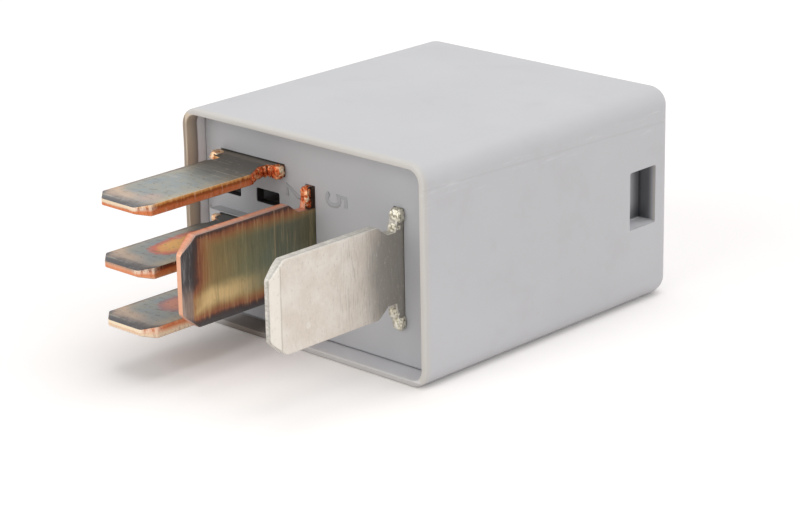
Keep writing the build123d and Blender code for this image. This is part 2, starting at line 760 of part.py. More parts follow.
# Resistor across the coil: round body, with its two leads bent down to the outer posts
resistor_x = column_left - outer_post_overhang + post_width / 2
resistor_y = base_inner + resistor_lift
with BuildPart() as resistor:
    with BuildSketch(Plane(origin=(resistor_x, resistor_y, mid_z - resistor_length / 2))):
        Circle(resistor_radius)
    extrude(amount=resistor_length)
    fillet(resistor.edges().filter_by(GeomType.CIRCLE), resistor_round)
resistor.part.label = "resistor"

lead_reach = column_pitch + half_sheet + resistor_lead_radius + lead_clearance
with BuildPart() as resistor_leads:
    for side in (1, -1):
        body_end_z = mid_z + side * resistor_length / 2
        post_z = mid_z + side * lead_reach
        with BuildLine() as wire_path:
            FilletPolyline((resistor_x, resistor_y, body_end_z), (resistor_x, resistor_y, post_z),
                           (resistor_x, base_inner + head_thickness + resistor_lead_wrap, post_z),
                           radius=resistor_lead_bend)
        with BuildSketch(Plane(origin=wire_path.line @ 0, z_dir=wire_path.line % 0)):
            Circle(resistor_lead_radius)
        sweep(path=wire_path.line)
resistor_leads.part.label = "resistor_leads"

for piece in (cover, base, coil_terminal_low, coil_terminal_high, closed_terminal, open_terminal,
              common_terminal, bobbin, winding, core, yoke, armature, contact_spring,
              armature_rivets, yoke_rivets, terminal_rivets, moving_contact, open_contact,
              closed_contact, resistor, resistor_leads):
    export_step(piece.part, f"parts/{piece.part.label}.step")
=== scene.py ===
import json
import math
from collections import namedtuple

import bmesh
import bpy
from mathutils import Matrix, Quaternion, Vector, noise


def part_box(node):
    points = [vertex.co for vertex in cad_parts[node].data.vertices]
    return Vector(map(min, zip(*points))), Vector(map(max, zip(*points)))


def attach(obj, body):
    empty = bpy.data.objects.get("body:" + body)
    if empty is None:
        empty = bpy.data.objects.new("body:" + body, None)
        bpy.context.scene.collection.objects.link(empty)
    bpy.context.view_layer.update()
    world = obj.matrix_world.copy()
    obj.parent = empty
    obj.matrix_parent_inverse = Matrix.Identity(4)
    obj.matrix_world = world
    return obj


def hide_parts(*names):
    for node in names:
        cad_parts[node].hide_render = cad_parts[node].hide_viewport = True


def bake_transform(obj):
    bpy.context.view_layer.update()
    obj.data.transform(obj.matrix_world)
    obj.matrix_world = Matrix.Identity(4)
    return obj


bl_info = {
    "name": "Five-blade relay",
    "version": (1, 0, 0),
    "blender": (4, 5, 0),
    "location": "3D View > Sidebar > Relay",
    "description": "Finishes the case, the blades, the coil and the studio of a plug-in relay",
    "category": "Object",
}

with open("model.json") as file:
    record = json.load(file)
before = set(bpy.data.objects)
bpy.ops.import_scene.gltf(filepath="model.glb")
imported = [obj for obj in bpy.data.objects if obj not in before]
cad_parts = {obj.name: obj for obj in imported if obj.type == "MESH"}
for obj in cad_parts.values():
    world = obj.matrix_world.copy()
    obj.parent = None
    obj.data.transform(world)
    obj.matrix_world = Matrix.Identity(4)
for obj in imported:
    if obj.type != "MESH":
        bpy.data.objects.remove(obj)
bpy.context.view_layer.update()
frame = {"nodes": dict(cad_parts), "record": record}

# Lengths are in metres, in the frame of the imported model: X across the relay, Y along it
# with the blades toward -Y, and Z up from the surface it lies on.
MM = 0.001
STILL_BODY = "relay"
WHITE = (1.0, 1.0, 1.0, 1.0)

# Case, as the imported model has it: the base's face, the cover's corners, its mouth and its wall there
NARROW_LENGTH = 12.6 * MM
BASE_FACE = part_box("coil_terminal_low")[0].y + NARROW_LENGTH
COVER_LOW, COVER_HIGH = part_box("cover")
MOUTH_Y = COVER_LOW.y
RIM_WALL = 0.45 * MM

# Puller notch: its end nearest the mouth, its far end, and its lower and upper wall
NOTCH_NEAR = COVER_HIGH.y - 4.75 * MM
NOTCH_FAR = COVER_HIGH.y - 1.9 * MM
NOTCH_FLOOR = 5.75 * MM
NOTCH_ROOF = 9.95 * MM

# Line where the mould's halves met: its height at Y 0, and how far it falls for each length along Y
MOULD_LINE = 13.43 * MM
MOULD_SLOPE = 0.032

# Blades in millimetres, as their finishes need them: half the sheet, the tip's bevel, half the widths
HALF_SHEET = 0.4
BEVEL_END = 0.8
WIDE_HALF = 3.15
NARROW_HALF = 2.4

Blade = namedtuple("Blade", "node mount upright")
BLADES = {
    "coil_low": Blade("coil_terminal_low", "blade_86", False),
    "coil_high": Blade("coil_terminal_high", "blade_85", False),
    "closed": Blade("normally_closed_terminal", "blade_87a", False),
    "open": Blade("normally_open_terminal", "blade_87", True),
    "common": Blade("common_terminal", "blade_30", True),
}
MOUNT_AT = {mount["name"]: Vector(mount["pos_m"]) for mount in frame["record"]["mounts"]}
WINDOW_LEVEL = MOUNT_AT["blade_87a"].z + 2.08 * MM


def srgb(red, green, blue):
    """Linear colour of an 8-bit screen colour."""
    def linear(part):
        share = part / 255
        return share / 12.92 if share <= 0.04045 else ((share + 0.055) / 1.055) ** 2.4
    return linear(red), linear(green), linear(blue)


class CaseSettings(bpy.types.PropertyGroup):
    """Colours and edges of the moulded cover and base."""
    cover_colour: bpy.props.FloatVectorProperty(
        name="Cover", description="Colour of the moulded cover",
        default=srgb(203, 203, 206), min=0, max=1, subtype="COLOR")
    base_colour: bpy.props.FloatVectorProperty(
        name="Base", description="Colour of the moulded base",
        default=srgb(186, 187, 190), min=0, max=1, subtype="COLOR")
    # The rim's warm colour is painted on as a highlight along its rounded edge
    rim_highlight_colour: bpy.props.FloatVectorProperty(
        name="Rim", description="Warmer colour of the cover's thin rim",
        default=srgb(210, 204, 192), min=0, max=1, subtype="COLOR")
    edge_rounding: bpy.props.FloatProperty(
        name="Edge rounding", description="Width of the rounding on moulded edges",
        default=0.06 * MM, min=0, unit="LENGTH")
    digit_stroke: bpy.props.FloatProperty(
        name="Digit stroke", description="Width of the moulded digits' strokes",
        default=0.34 * MM, min=0.05 * MM, unit="LENGTH")
    digit_relief: bpy.props.FloatProperty(
        name="Digit relief", description="How far the moulded digits stand out",
        default=0.07 * MM, min=0, unit="LENGTH")
    rim_waviness: bpy.props.FloatProperty(
        name="Rim waviness", description="How far the thin rim wanders from a straight line",
        default=0.02 * MM, min=0, unit="LENGTH")


class BladeSettings(bpy.types.PropertyGroup):
    """Colours and edges of the stamped terminals."""
    tin_colour: bpy.props.FloatVectorProperty(
        name="Tin", description="Colour of the matte tin plating",
        default=srgb(236, 229, 220), min=0, max=1, subtype="COLOR")
    edge_rounding: bpy.props.FloatProperty(
        name="Edge rounding", description="Width of the rounding on stamped edges",
        default=0.07 * MM, min=0, unit="LENGTH")
    lump_roughness: bpy.props.FloatProperty(
        name="Lump roughness", description="Depth of the torn ridges on the sheared ears",
        default=0.1 * MM, min=0, unit="LENGTH")


class CoilSettings(bpy.types.PropertyGroup):
    """Sizes of the wound coil."""
    wire_diameter: bpy.props.FloatProperty(
        name="Wire", description="Diameter of the enamelled wire",
        default=0.24 * MM, min=0.05 * MM, unit="LENGTH")
    wire_colour: bpy.props.FloatVectorProperty(
        name="Enamel", description="Colour of the enamelled wire",
        default=srgb(176, 84, 42), min=0, max=1, subtype="COLOR")


class StageSettings(bpy.types.PropertyGroup):
    """Floor, lamps and camera."""
    floor_size: bpy.props.FloatProperty(
        name="Floor", description="Width of the pale floor", default=4.0, min=0.5, unit="LENGTH")
    ambient: bpy.props.FloatProperty(
        name="Ambient", description="Strength of the even studio light", default=0.52, min=0)
    lamp_distance: bpy.props.FloatProperty(
        name="Lamp distance", description="Distance of the soft boxes", default=0.6, unit="LENGTH")
    lens: bpy.props.FloatProperty(
        name="Lens", description="Focal length of the camera, in millimetres", default=119.96)
    eye: bpy.props.FloatVectorProperty(
        name="Camera", description="Place of the camera",
        default=(121.34 * MM, -125.57 * MM, 63.75 * MM), subtype="TRANSLATION")
    target: bpy.props.FloatVectorProperty(
        name="Target", description="Point that the camera looks at",
        default=(-3.047 * MM, 5.456 * MM, 2.885 * MM), subtype="TRANSLATION")
    roll: bpy.props.FloatProperty(
        name="Roll", description="Turn of the camera about its own axis",
        default=-0.018, subtype="ANGLE")


class Value:
    """Socket of a node tree that can be used in expressions."""

    def __init__(self, paint, socket):
        self.paint = paint
        self.socket = socket

    def maths(self, operation, *others):
        values = dict(enumerate((self, *others)))
        return self.paint.node("ShaderNodeMath", {"operation": operation}, values)

    def __add__(self, other):
        return self.maths("ADD", other)

    __radd__ = __add__

    def __sub__(self, other):
        return self.maths("SUBTRACT", other)

    def __rsub__(self, other):
        return -self + other

    def __mul__(self, other):
        return self.maths("MULTIPLY", other)

    def __neg__(self):
        return self * -1.0

    def __truediv__(self, other):
        return self.maths("DIVIDE", other)

    def __pow__(self, power):
        return self.maths("POWER", power)

    def __abs__(self):
        return self.maths("ABSOLUTE")

    def least(self, other):
        return self.maths("MINIMUM", other)

    def step(self, low, high):
        """0 below low, 1 above high, and a smooth rise between them."""
        return self.paint.node("ShaderNodeMapRange", {"interpolation_type": "SMOOTHSTEP"},
                               {"Value": self, "From Min": low, "From Max": high})

    def until(self, low, high):
        """1 below low, 0 above high, and a smooth fall between them."""
        return 1 - self.step(low, high)


class Paint:
    """The node tree of a material or a world, and short ways to add to it."""

    def __init__(self, owner):
        owner.use_nodes = True
        self.owner = owner
        self.tree = owner.node_tree
        self.tree.nodes.clear()

    def node(self, kind, settings=None, values=None, output=0):
        made = self.tree.nodes.new(kind)
        for key, setting in (settings or {}).items():
            if key == "stops":
                fill_ramp(made.color_ramp.elements, setting)
            else:
                setattr(made, key, setting)
        for key, value in (values or {}).items():
            if isinstance(value, Value):
                self.tree.links.new(value.socket, made.inputs[key])
            else:
                made.inputs[key].default_value = value
        return Value(self, made.outputs[output])

    def position(self, centre=(0, 0, 0)):
        """Place on the object in millimetres from a point given in metres."""
        place = self.node("ShaderNodeTexCoord", output="Object")
        moved = self.node("ShaderNodeVectorMath", {"operation": "SUBTRACT"}, {0: place, 1: centre})
        return self.stretched(moved, (1 / MM, 1 / MM, 1 / MM))

    def stretched(self, vector, scale):
        return self.node("ShaderNodeVectorMath", {"operation": "MULTIPLY"}, {0: vector, 1: scale})

    def parts(self, vector):
        split = self.node("ShaderNodeSeparateXYZ", values={0: vector})
        outputs = split.socket.node.outputs
        return tuple(Value(self, outputs[axis]) for axis in range(3))

    def noise(self, vector, scale, detail=2.0, roughness=0.5, stretch=None):
        """Noise from 0 to 1, in waves per millimetre, drawn out where the stretch is under 1."""
        if stretch:
            vector = self.stretched(vector, stretch)
        return self.node("ShaderNodeTexNoise", values={
            "Vector": vector, "Scale": scale, "Detail": detail, "Roughness": roughness})

    def cells(self, vector, scale):
        return self.node("ShaderNodeTexVoronoi", {"feature": "F1"}, {"Vector": vector, "Scale": scale})

    def ramp(self, value, stops):
        return self.node("ShaderNodeValToRGB", {"stops": stops}, {0: value})

    def mix(self, share, first, second):
        first, second = (with_alpha(colour) for colour in (first, second))
        return self.node("ShaderNodeMix", {"data_type": "RGBA"}, {0: share, 6: first, 7: second}, 2)

    def coats(self, colour, layers):
        """The colour under coats, each given as where it lies, its strength and its screen colour."""
        for where, strength, coat in layers:
            linear = coat if isinstance(coat, Value) else srgb(*coat)
            colour = self.mix(where * strength, colour, linear)
        return colour

    def bump(self, height, distance, strength, under=None):
        values = {"Height": height, "Distance": distance, "Strength": strength}
        if under:
            values["Normal"] = under
        return self.node("ShaderNodeBump", values=values)

    def finish(self, colour, roughness, metallic=0.0, normal=None, **constants):
        values = {"Base Color": with_alpha(colour), "Roughness": roughness, "Metallic": metallic}
        if normal:
            values["Normal"] = normal
        values.update({key.replace("_", " "): value for key, value in constants.items()})
        return self.end(self.node("ShaderNodeBsdfPrincipled", values=values))

    def end(self, shader, kind="ShaderNodeOutputMaterial"):
        """Joins the shader to the tree's output, and gives the tree's owner."""
        output = self.tree.nodes.new(kind)
        self.tree.links.new(shader.socket, output.inputs["Surface"])
        return self.owner


def material_paint(name):
    """Paint of a new material."""
    return Paint(bpy.data.materials.new(name))


def with_alpha(colour):
    return colour if isinstance(colour, Value) else (*tuple(colour)[:3], 1.0)


def scaled(colour, share):
    return tuple(part * share for part in colour)


def fill_ramp(elements, stops):
    """Colour ramp stops, given as pairs of place and screen colour, from low to high."""
    while len(elements) > 1:
        elements.remove(elements[-1])
    for index, (place, colour) in enumerate(stops):
        element = elements[0] if index == 0 else elements.new(place)
        element.position = place
        element.color = (*srgb(*colour), 1.0)


# In the finishes below, places are in millimetres from the point that their first lines choose.
# step and until take where a mark begins and where it is complete, and a coat's colour is given as
# the screen shows it. Everything else that a finish takes is linear.

def moulded_plastic(name, colour, places=None):
    """Satin moulding with a fine grain, faint flow marks and the colours of its own places."""
    paint = material_paint(name)
    place = paint.position()
    cloud = paint.noise(place, 0.12, 3.0)
    shade = paint.mix(cloud.step(0.35, 0.7), scaled(colour, 0.96), colour)
    if places:
        shade = places(paint, place, shade)
    grain = paint.noise(place, 9.0, 3.0, 0.6)
    flow = paint.noise(place, 0.9, 2.0, stretch=(1.0, 0.12, 1.0))
    fine = paint.bump(grain, 0.012 * MM, 0.35)
    normal = paint.bump(flow, 0.05 * MM, 0.12, under=fine)
    return paint.finish(shade, cloud * 0.1 + 0.46, normal=normal, Specular_IOR_Level=0.4)


def base_shade(paint, place, shade):
    """The base's colour, and painted shade inside its two windows."""
    along, up = paint.parts(place)[1:]
    hidden = (along - BASE_FACE / MM).step(0.02, 0.12)
    # Painted shade: near black inside the windows, behind the base's face
    inside = hidden * abs(up - WINDOW_LEVEL / MM).until(0.6, 0.8)
    return paint.coats(shade, [(inside, 0.93, (26, 22, 20))])


def cover_shade(paint, place, shade):
    """The cover's colour with painted light and shade at its mouth and in its notches, and where it is
    worn.
    """
    across, along, up = paint.parts(place)
    skin = COVER_HIGH.x / MM - abs(across)
    shade = mouth_shade(paint, paint.noise(place, 0.8, 2.0), across, along - MOUTH_Y / MM, up, shade)
    shade = notch_shade(paint, skin, along, up, shade)
    parting = abs(up + along * MOULD_SLOPE - MOULD_LINE / MM).until(0.02, 0.11) * skin.until(0.02, 0.2)
    from_top = up - COVER_HIGH.z / MM
    shoulder = from_top.step(-3.2, -2.4) * from_top.until(-1.6, -1.1) * skin.until(0.02, 0.6)
    scratch = paint.noise(place, 1.4, 4.0, 0.7, (1.0, 0.25, 3.0)).step(0.56, 0.7)
    smudge = paint.noise(place, 0.3, 4.0, 0.6).step(0.54, 0.72)
    return paint.coats(shade, [
        (parting, 0.09, (150, 146, 144)), (scratch * shoulder, 0.25, (236, 236, 238)),
        (smudge, 0.045, (150, 138, 128))])


def mouth_shade(paint, wander, across, depth, up, shade):
    """Painted rim highlight, warm left wall with painted shade, painted light and shade low down, by depth
    from the mouth.
    """
    recess = (BASE_FACE - MOUTH_Y) / MM
    inner_x = (COVER_HIGH.x - RIM_WALL) / MM
    inner_top = (COVER_HIGH.z - RIM_WALL) / MM
    left = -across
    over_floor = up - RIM_WALL / MM
    rim = (depth + wander * 0.4).until(0.15, 0.95)
    within = (over_floor.step(-0.1, 0.02) * (up - inner_top).until(-0.02, 0.1)
              * depth.until(recess + 0.05, recess + 0.15))
    wall = left.step(inner_x - 0.9, inner_x - 0.5) * left.until(inner_x - 0.01, inner_x + 0.1) * within
    floor = over_floor.until(0.06, 0.3)
    sill = over_floor.until(-0.12, 0.0) * depth.until(0.05, 0.3)
    # Stretch of the lower wall where the blades' shadow is painted
    in_blades_shadow = across.until(-5.0, -1.0) * across.step(-9.0, -7.0)
    under = floor * depth.until(recess, recess + 0.15) * in_blades_shadow
    # The left wall's warm colour, darkening into the mouth as painted shade, then near white where it meets
    # the base
    warm_wall_shade = paint.ramp(depth / recess + (wander - 0.5) * 0.08, [
        (0.0, (216, 200, 178)), (0.22, (206, 190, 168)), (0.42, (180, 166, 150)),
        (0.58, (140, 128, 120)), (0.63, (246, 246, 248)), (1.0, (252, 252, 254))])
    # Painted highlight along the rim, in the rim's warm colour
    shade = paint.mix(rim * 0.55, shade, tuple(bpy.context.scene.case_settings.rim_highlight_colour))
    return paint.coats(shade, [
        (rim * left.step(inner_x - 0.3, inner_x + 0.1), 0.95, (156, 140, 122)),
        (wall, 0.95, warm_wall_shade),
        # The low part of the mouth painted lighter: painted light over its shade
        (within * floor * abs(across).until(inner_x - 0.2, inner_x), 0.65, (228, 228, 232)),
        # The lower rim painted darker: painted shade
        (sill, 0.5, (182, 182, 184)),
        # The blades' painted shadow on the lower wall
        (under, 0.85, (112, 98, 86))])


def notch_shade(paint, skin, along, up, shade):
    """Painted shade inside the puller notches, deepest at the back and low down, by depth from the side."""
    from_near = along - NOTCH_NEAR / MM
    from_far = along - NOTCH_FAR / MM
    from_floor = up - NOTCH_FLOOR / MM
    sunk = (from_near.step(-0.06, 0.02) * from_far.until(0.0, 0.06) * from_floor.step(0.02, 0.16)
            * (up - NOTCH_ROOF / MM).until(-0.02, 0.06))
    back = from_far.step(-1.5, -0.1) * skin.step(1.2, 1.45)
    low = from_floor.until(0.1, 1.5) * skin.step(0.5, 1.1)
    far_wall = from_far.step(-0.05, -0.01)
    # Warm strip by the far wall's outer edge: painted light
    far_edge = far_wall * skin.step(0.02, 0.08) * skin.until(0.1, 0.3)
    # Ledge at the notch's floor painted near white: painted light
    ledge = (abs(from_floor).until(0.01, 0.04) * from_near.step(0.0, 0.06)
             * from_far.until(-0.06, 0.0) * skin.step(0.0, 0.3))
    return paint.coats(shade, [
        (sunk * back, 0.8, (58, 61, 66)),
        (sunk * low, 0.6, (34, 36, 42)),
        (sunk * far_wall * skin.step(0.0, 0.7), 0.85, (72, 74, 79)),
        (sunk * far_edge, 0.5, (192, 184, 166)),
        (ledge, 0.6, (240, 240, 244))])


def sheared_mask(paint, upright):
    """1 on the sheet's sheared edges and 0 on its rolled faces."""
    normal = paint.node("ShaderNodeTexCoord", output="Normal")
    through = paint.parts(normal)[0 if upright else 2]
    return abs(through).until(0.35, 0.85)


def blade_places(paint, blade):
    """Along from the tip, across from the centre line and through the sheet, in millimetres."""
    centre = MOUNT_AT[blade.mount].copy()
    centre.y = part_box(blade.node)[0].y
    place = paint.position(centre)
    x, along, z = paint.parts(place)
    across, through = (z, x) if blade.upright else (x, z)
    return place, along, across, through


def sheared_copper(paint, place, through, upright, stops):
    """Bright copper of a cut edge: layers through the sheet, broken by torn ridges."""
    ridges = paint.noise(place, 4.2, 4.0, 0.7, (0.25, 1.0, 1.0) if upright else (1.0, 1.0, 0.25))
    wavy = through / HALF_SHEET + (paint.noise(place, 1.3, 3.0) - 0.5) * 0.5 + (ridges - 0.5) * 0.5
    layered = paint.ramp(wavy * 0.5 + 0.5, stops)
    torn = paint.ramp(ridges, [(0.3, (132, 54, 24)), (0.5, (206, 116, 70)), (0.72, (255, 226, 192))])
    spread = (abs(ridges - 0.5) * 2.2).least(0.5)
    return paint.mix(spread, layered, torn), ridges


def film_patch(along, across, stir, patch):
    """Where the two colours of a warm patch lie: its fringe, and its inside."""
    centre_along, centre_across, reach_along, reach_across = patch
    far = (((along - centre_along) / reach_along) ** 2.0
           + ((across - centre_across) / reach_across) ** 2.0 + stir)
    return far.until(0.7, 1.25), far.until(0.25, 0.8)


def rolled_copper(paint, colour, sheared, lines, ridges, line_depth, line_strength):
    """Copper with faint rolling lines on its faces and torn ridges on its cut edges."""
    roughness = sheared * -0.08 + lines * 0.15 + 0.42
    rolling = paint.bump(lines, line_depth, line_strength)
    normal = paint.bump(ridges * sheared, 0.05 * MM, 0.8, under=rolling)
    return paint.finish(colour, roughness, 0.6, normal)


def lying_copper(name, warm_places, root_colour, edge_stops, dark_reach, tip_share=0.85):
    """Lying copper blade: a grey-blue film with warm spots, dark margins and bright cut edges."""
    paint = material_paint(name + "_copper")
    place, along, across, through = blade_places(paint, BLADES[name])
    wander = paint.noise(place, 0.6, 3.0, 0.55) - 0.5
    lines = paint.noise(place, 1.1, 4.0, 0.75, (0.25, 3.0, 3.0)) - 0.5
    mottle = paint.noise(place, 2.4, 4.0, 0.7) - 0.5
    stir = wander * 0.9 + lines * 0.5 + mottle * 0.5

    near_side = NARROW_HALF - across + stir * 0.5
    far_side = NARROW_HALF + across + stir * 0.4
    cut_corner = (along + NARROW_HALF - abs(across)) * 0.9 + stir * 0.4 - 0.45
    from_tip = (along + stir * 0.5).least(cut_corner)
    arc = from_tip.step(0.4, 1.0) * from_tip.until(1.2, 2.4)
    far_arc = (arc * across.until(-1.2, 1.6) + arc * 0.3).least(1.0)
    film = paint.mix((wander + 0.5 + mottle * 0.9).step(0.3, 0.7), srgb(158, 157, 146), srgb(140, 150, 154))
    film = paint.coats(film, [
        (near_side.until(0.1, 1.1), 0.65, (186, 170, 140)),
        (far_side.until(0.3, 1.1), 0.5, (172, 158, 136)),
        (far_side.until(0.05, 0.4), 0.75, (106, 88, 80)),
        (far_arc, 0.7, (216, 182, 152)),
        (from_tip.until(0.5, 1.5), 0.5, (130, 118, 118)),
        (from_tip.until(0.1, dark_reach), 0.9, (90, 88, 92))])
    for patch, inner, outer, strength in warm_places:
        fringe, core = film_patch(along, across, stir, patch)
        film = paint.coats(film, [(fringe, strength, outer), (core, strength, inner)])

    bend_along, neck_along = 12.1, 9.4
    # Darker toward the root: tarnish, and painted shade near the base
    root = (along + wander * 3.0 + across * 0.25 + mottle * 2.0).step(5.6, 10.0)
    # Painted highlight along the bend just before the slot
    bend_highlight = abs(along - bend_along + mottle * 0.3).until(0.1, 0.45)
    film = paint.coats(film, [
        (root, 0.88, root_colour),
        (bend_highlight, 0.35, (168, 150, 132)),
        ((lines + mottle * 0.5).step(0.04, 0.24), 0.42, (206, 196, 176)),
        ((-mottle - lines * 0.7).step(0.02, 0.24), 0.6, (84, 84, 84)),
        (paint.noise(place, 5.0, 4.0, 0.7).step(0.64, 0.72), 0.4, (220, 200, 176))])

    bright, ridges = sheared_copper(paint, place, through, False, edge_stops)
    height = through / HALF_SHEET
    pale_tip = (along + wander * 0.3).until(0.03, 0.16) * (height + wander * 0.9).step(-0.25, 0.15)
    crumbs = ((ridges - 0.1).step(0.24, 0.4) * along.until(0.9, 1.4) * across.step(0.9, 1.5)
              * (height + wander * 0.8).step(-0.3, 0.2))
    flank = (along - neck_along).step(0.0, 0.4) * across.step(0.0, 0.4)
    bright = paint.coats(bright, [
        (pale_tip, tip_share, (255, 236, 206)),
        (crumbs, 0.75, (255, 230, 206)),
        (flank, 0.75, (196, 78, 32))])
    sheared = (sheared_mask(paint, False) + wander * 0.2).step(0.3, 0.7)
    colour = paint.mix(sheared, film, bright)
    return rolled_copper(paint, colour, sheared, lines, ridges, 0.012 * MM, 0.6)


def upright_copper(name):
    """Upright copper blade: charcoal bevel and margins, then red, gold, olive and teal films."""
    paint = material_paint(name + "_copper")
    place, along, across, through = blade_places(paint, BLADES[name])
    wander = paint.noise(place, 0.55, 3.0, 0.55) - 0.5
    lines = paint.noise(place, 1.2, 4.0, 0.8, (3.0, 4.2, 0.2)) - 0.5
    mottle = paint.noise(place, 1.8, 4.0, 0.7) - 0.5

    pale_band = across.until(-1.3, 0.2) * across.step(-2.8, -2.2)
    upper = (WIDE_HALF - across + 0.2) / 1.35
    lower = (WIDE_HALF + across - 0.15) / 1.3
    end = (along - BEVEL_END) / 2.4 + 0.12 + pale_band * 0.45
    inward = upper.least(lower).least(end) + wander * 0.3 + lines * 0.4 + mottle * 0.12
    margin = paint.ramp(inward, [
        (0.0, (92, 88, 88)), (0.16, (84, 76, 76)), (0.28, (108, 76, 68)),
        (0.4, (164, 104, 78)), (0.62, (180, 128, 86)), (1.0, (180, 146, 96))])
    film = paint.ramp((along + wander * 2.4 + lines * 1.6) / 12.0, [
        (0.0, (186, 148, 98)), (0.25, (174, 152, 106)), (0.45, (150, 147, 112)),
        (0.62, (132, 138, 116)), (0.76, (124, 130, 112)), (0.95, (120, 118, 94))])
    gold = (across + wander * 0.9 + lines * 0.5).until(-1.25, -0.25) * along.until(3.0, 8.5)
    shaded = (across + along * 0.1 + wander).step(0.2, 2.6)
    film = paint.coats(film, [(gold, 0.95, (255, 222, 160)), (shaded, 0.25, (104, 92, 64))])

    inner = inward.step(0.1, 0.5)
    scribed_along = 8.25
    scribed = abs(along - scribed_along).until(0.02, 0.07) * across.step(-0.4, 0.2)
    worn = paint.noise(place, 1.2, 4.0, 0.7, (1.0, 4.0, 0.5))
    charcoal = paint.mix(worn.step(0.46, 0.7) * 0.75, srgb(86, 82, 84), srgb(156, 156, 160))
    charcoal = paint.mix(pale_band * (worn * 1.2).least(0.75), charcoal, srgb(196, 172, 158))
    bevel = (along + wander * 0.3 + lines * 0.3).until(BEVEL_END - 0.1, BEVEL_END + 0.12)
    face = paint.coats(paint.mix(inward.step(0.5, 1.15), margin, film), [
        (lines.step(0.0, 0.2) * inner, 0.36, (232, 206, 156)),
        ((-lines).step(0.0, 0.2) * inner, 0.36, (84, 72, 58)),
        ((-mottle).step(0.1, 0.3), 0.3, (84, 80, 70)),
        (scribed, 0.45, (214, 184, 140)),
        (bevel, 0.9, charcoal)])

    bright, ridges = sheared_copper(paint, place, through, True, [
        (0.0, (210, 124, 84)), (0.3, (236, 168, 136)), (0.62, (226, 172, 148)),
        (0.8, (196, 160, 144)), (1.0, (160, 136, 126))])
    bright = paint.coats(bright, [(along.until(0.05, 0.3), 0.6, (250, 190, 154))])
    sheared = (sheared_mask(paint, True) + wander * 0.15).step(0.35, 0.7)
    ear_along = (BASE_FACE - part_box(BLADES[name].node)[0].y) / MM - 0.65
    # Painted shade on the ear's side that faces the open slot
    ear_side_shade = (abs(across).step(WIDE_HALF - 0.85, WIDE_HALF - 0.7) * through.step(0.0, 0.2)
                * along.step(ear_along - 0.1, ear_along + 0.1))
    colour = paint.coats(paint.mix(sheared, face, bright), [(ear_side_shade, 0.92, (46, 41, 34))])
    return rolled_copper(paint, colour, sheared, lines, ridges, 0.02 * MM, 0.7)


def matte_tin(name):
    """Tin plating: pale and matte, with fine lines across the blade, a painted highlight on its tip's bevel
    and a darker root.
    """
    paint = material_paint(name + "_tin")
    place, along, across, through = blade_places(paint, BLADES[name])
    lines = paint.noise(place, 1.2, 3.0, 0.7, (6.0, 7.0, 0.5))
    cloud = paint.noise(place, 0.7, 4.0, 0.6)
    mottle = paint.noise(place, 2.6, 3.0, 0.7, (1.0, 2.0, 1.0))
    streak = paint.noise(place, 4.0, 4.0, 0.7, (0.5, 1.0, 1.0))

    bowed = along - abs(across) * 0.22
    crease = abs(along - BEVEL_END - 0.03 + (cloud - 0.5) * 0.1).until(0.02, 0.09)
    dimple_along, dimple_across = 3.15, -1.65
    dimple = ((along - dimple_along) ** 2.0 + (across - dimple_across) ** 2.0).step(0.02, 0.08)
    tin = tuple(bpy.context.scene.blade_settings.tin_colour)
    face = paint.coats(paint.mix(cloud.step(0.36, 0.7), srgb(226, 216, 204), tin), [
        # The tip's bevel painted paler: a painted highlight
        (along.until(BEVEL_END - 0.05, BEVEL_END + 0.08), 0.8, (246, 240, 230)),
        (crease, 0.4, (170, 160, 146)),
        ((bowed + (cloud - 0.5) * 1.4).step(7.6, 9.8), 0.8, (160, 156, 148)),
        (mottle.step(0.56, 0.7), 0.35, (250, 244, 234)),
        (mottle.until(0.3, 0.44), 0.3, (176, 170, 166)),
        (bowed.step(4.5, 7.0) * lines.until(0.34, 0.5), 0.35, (150, 146, 142)),
        (1 - dimple, 0.25, (252, 250, 244))])

    height = through / HALF_SHEET
    edge = paint.ramp(streak, [(0.3, (168, 165, 159)), (0.5, (196, 193, 186)), (0.7, (226, 222, 214))])
    edge = paint.coats(edge, [
        (abs(height - 0.75).until(0.05, 0.25), 0.6, (246, 242, 234)),
        (abs(height - 0.3).until(0.05, 0.3), 0.5, (158, 155, 148)),
        (along.until(0.05, 0.2) * streak.until(0.36, 0.5), 0.5, (124, 118, 104))])
    sheared = sheared_mask(paint, True)
    colour = paint.coats(face, [(sheared, 0.8, edge)])
    rolling = paint.bump(lines, 0.012 * MM, 0.7)
    dented = paint.bump(dimple, 0.04 * MM, 0.5, under=rolling)
    normal = paint.bump(streak * sheared, 0.05 * MM, 0.7, under=dented)
    return paint.finish(colour, cloud * 0.14 + 0.42, 0.55, normal)


def torn_metal(name, deep, middle, bright):
    """Metal where it was torn: deep colour in the grooves and bright crumbs on the crests."""
    paint = material_paint(name)
    place = paint.position()
    rough = paint.noise(place, 2.6, 5.0, 0.7)
    level = rough * 0.8 + paint.cells(place, 4.5) * 0.35
    colour = paint.ramp(level, [(0.38, deep), (0.54, middle), (0.76, bright)])
    return paint.finish(colour, rough * 0.2 + 0.3, 0.65, paint.bump(level, 0.12 * MM, 0.7))


def plated_iron(name, colour):
    """Zinc plated soft iron with a faint spangle."""
    paint = material_paint(name)
    place = paint.position()
    spangle = paint.cells(place, 1.4)
    cloud = paint.noise(place, 0.9, 3.0)
    shade = paint.mix(spangle * 0.5 + cloud * 0.3, colour, scaled(colour, 1.25))
    grain = paint.noise(place, 8.0, 3.0)
    return paint.finish(shade, cloud * 0.15 + 0.34, 0.95, paint.bump(grain, 0.01 * MM, 0.5))


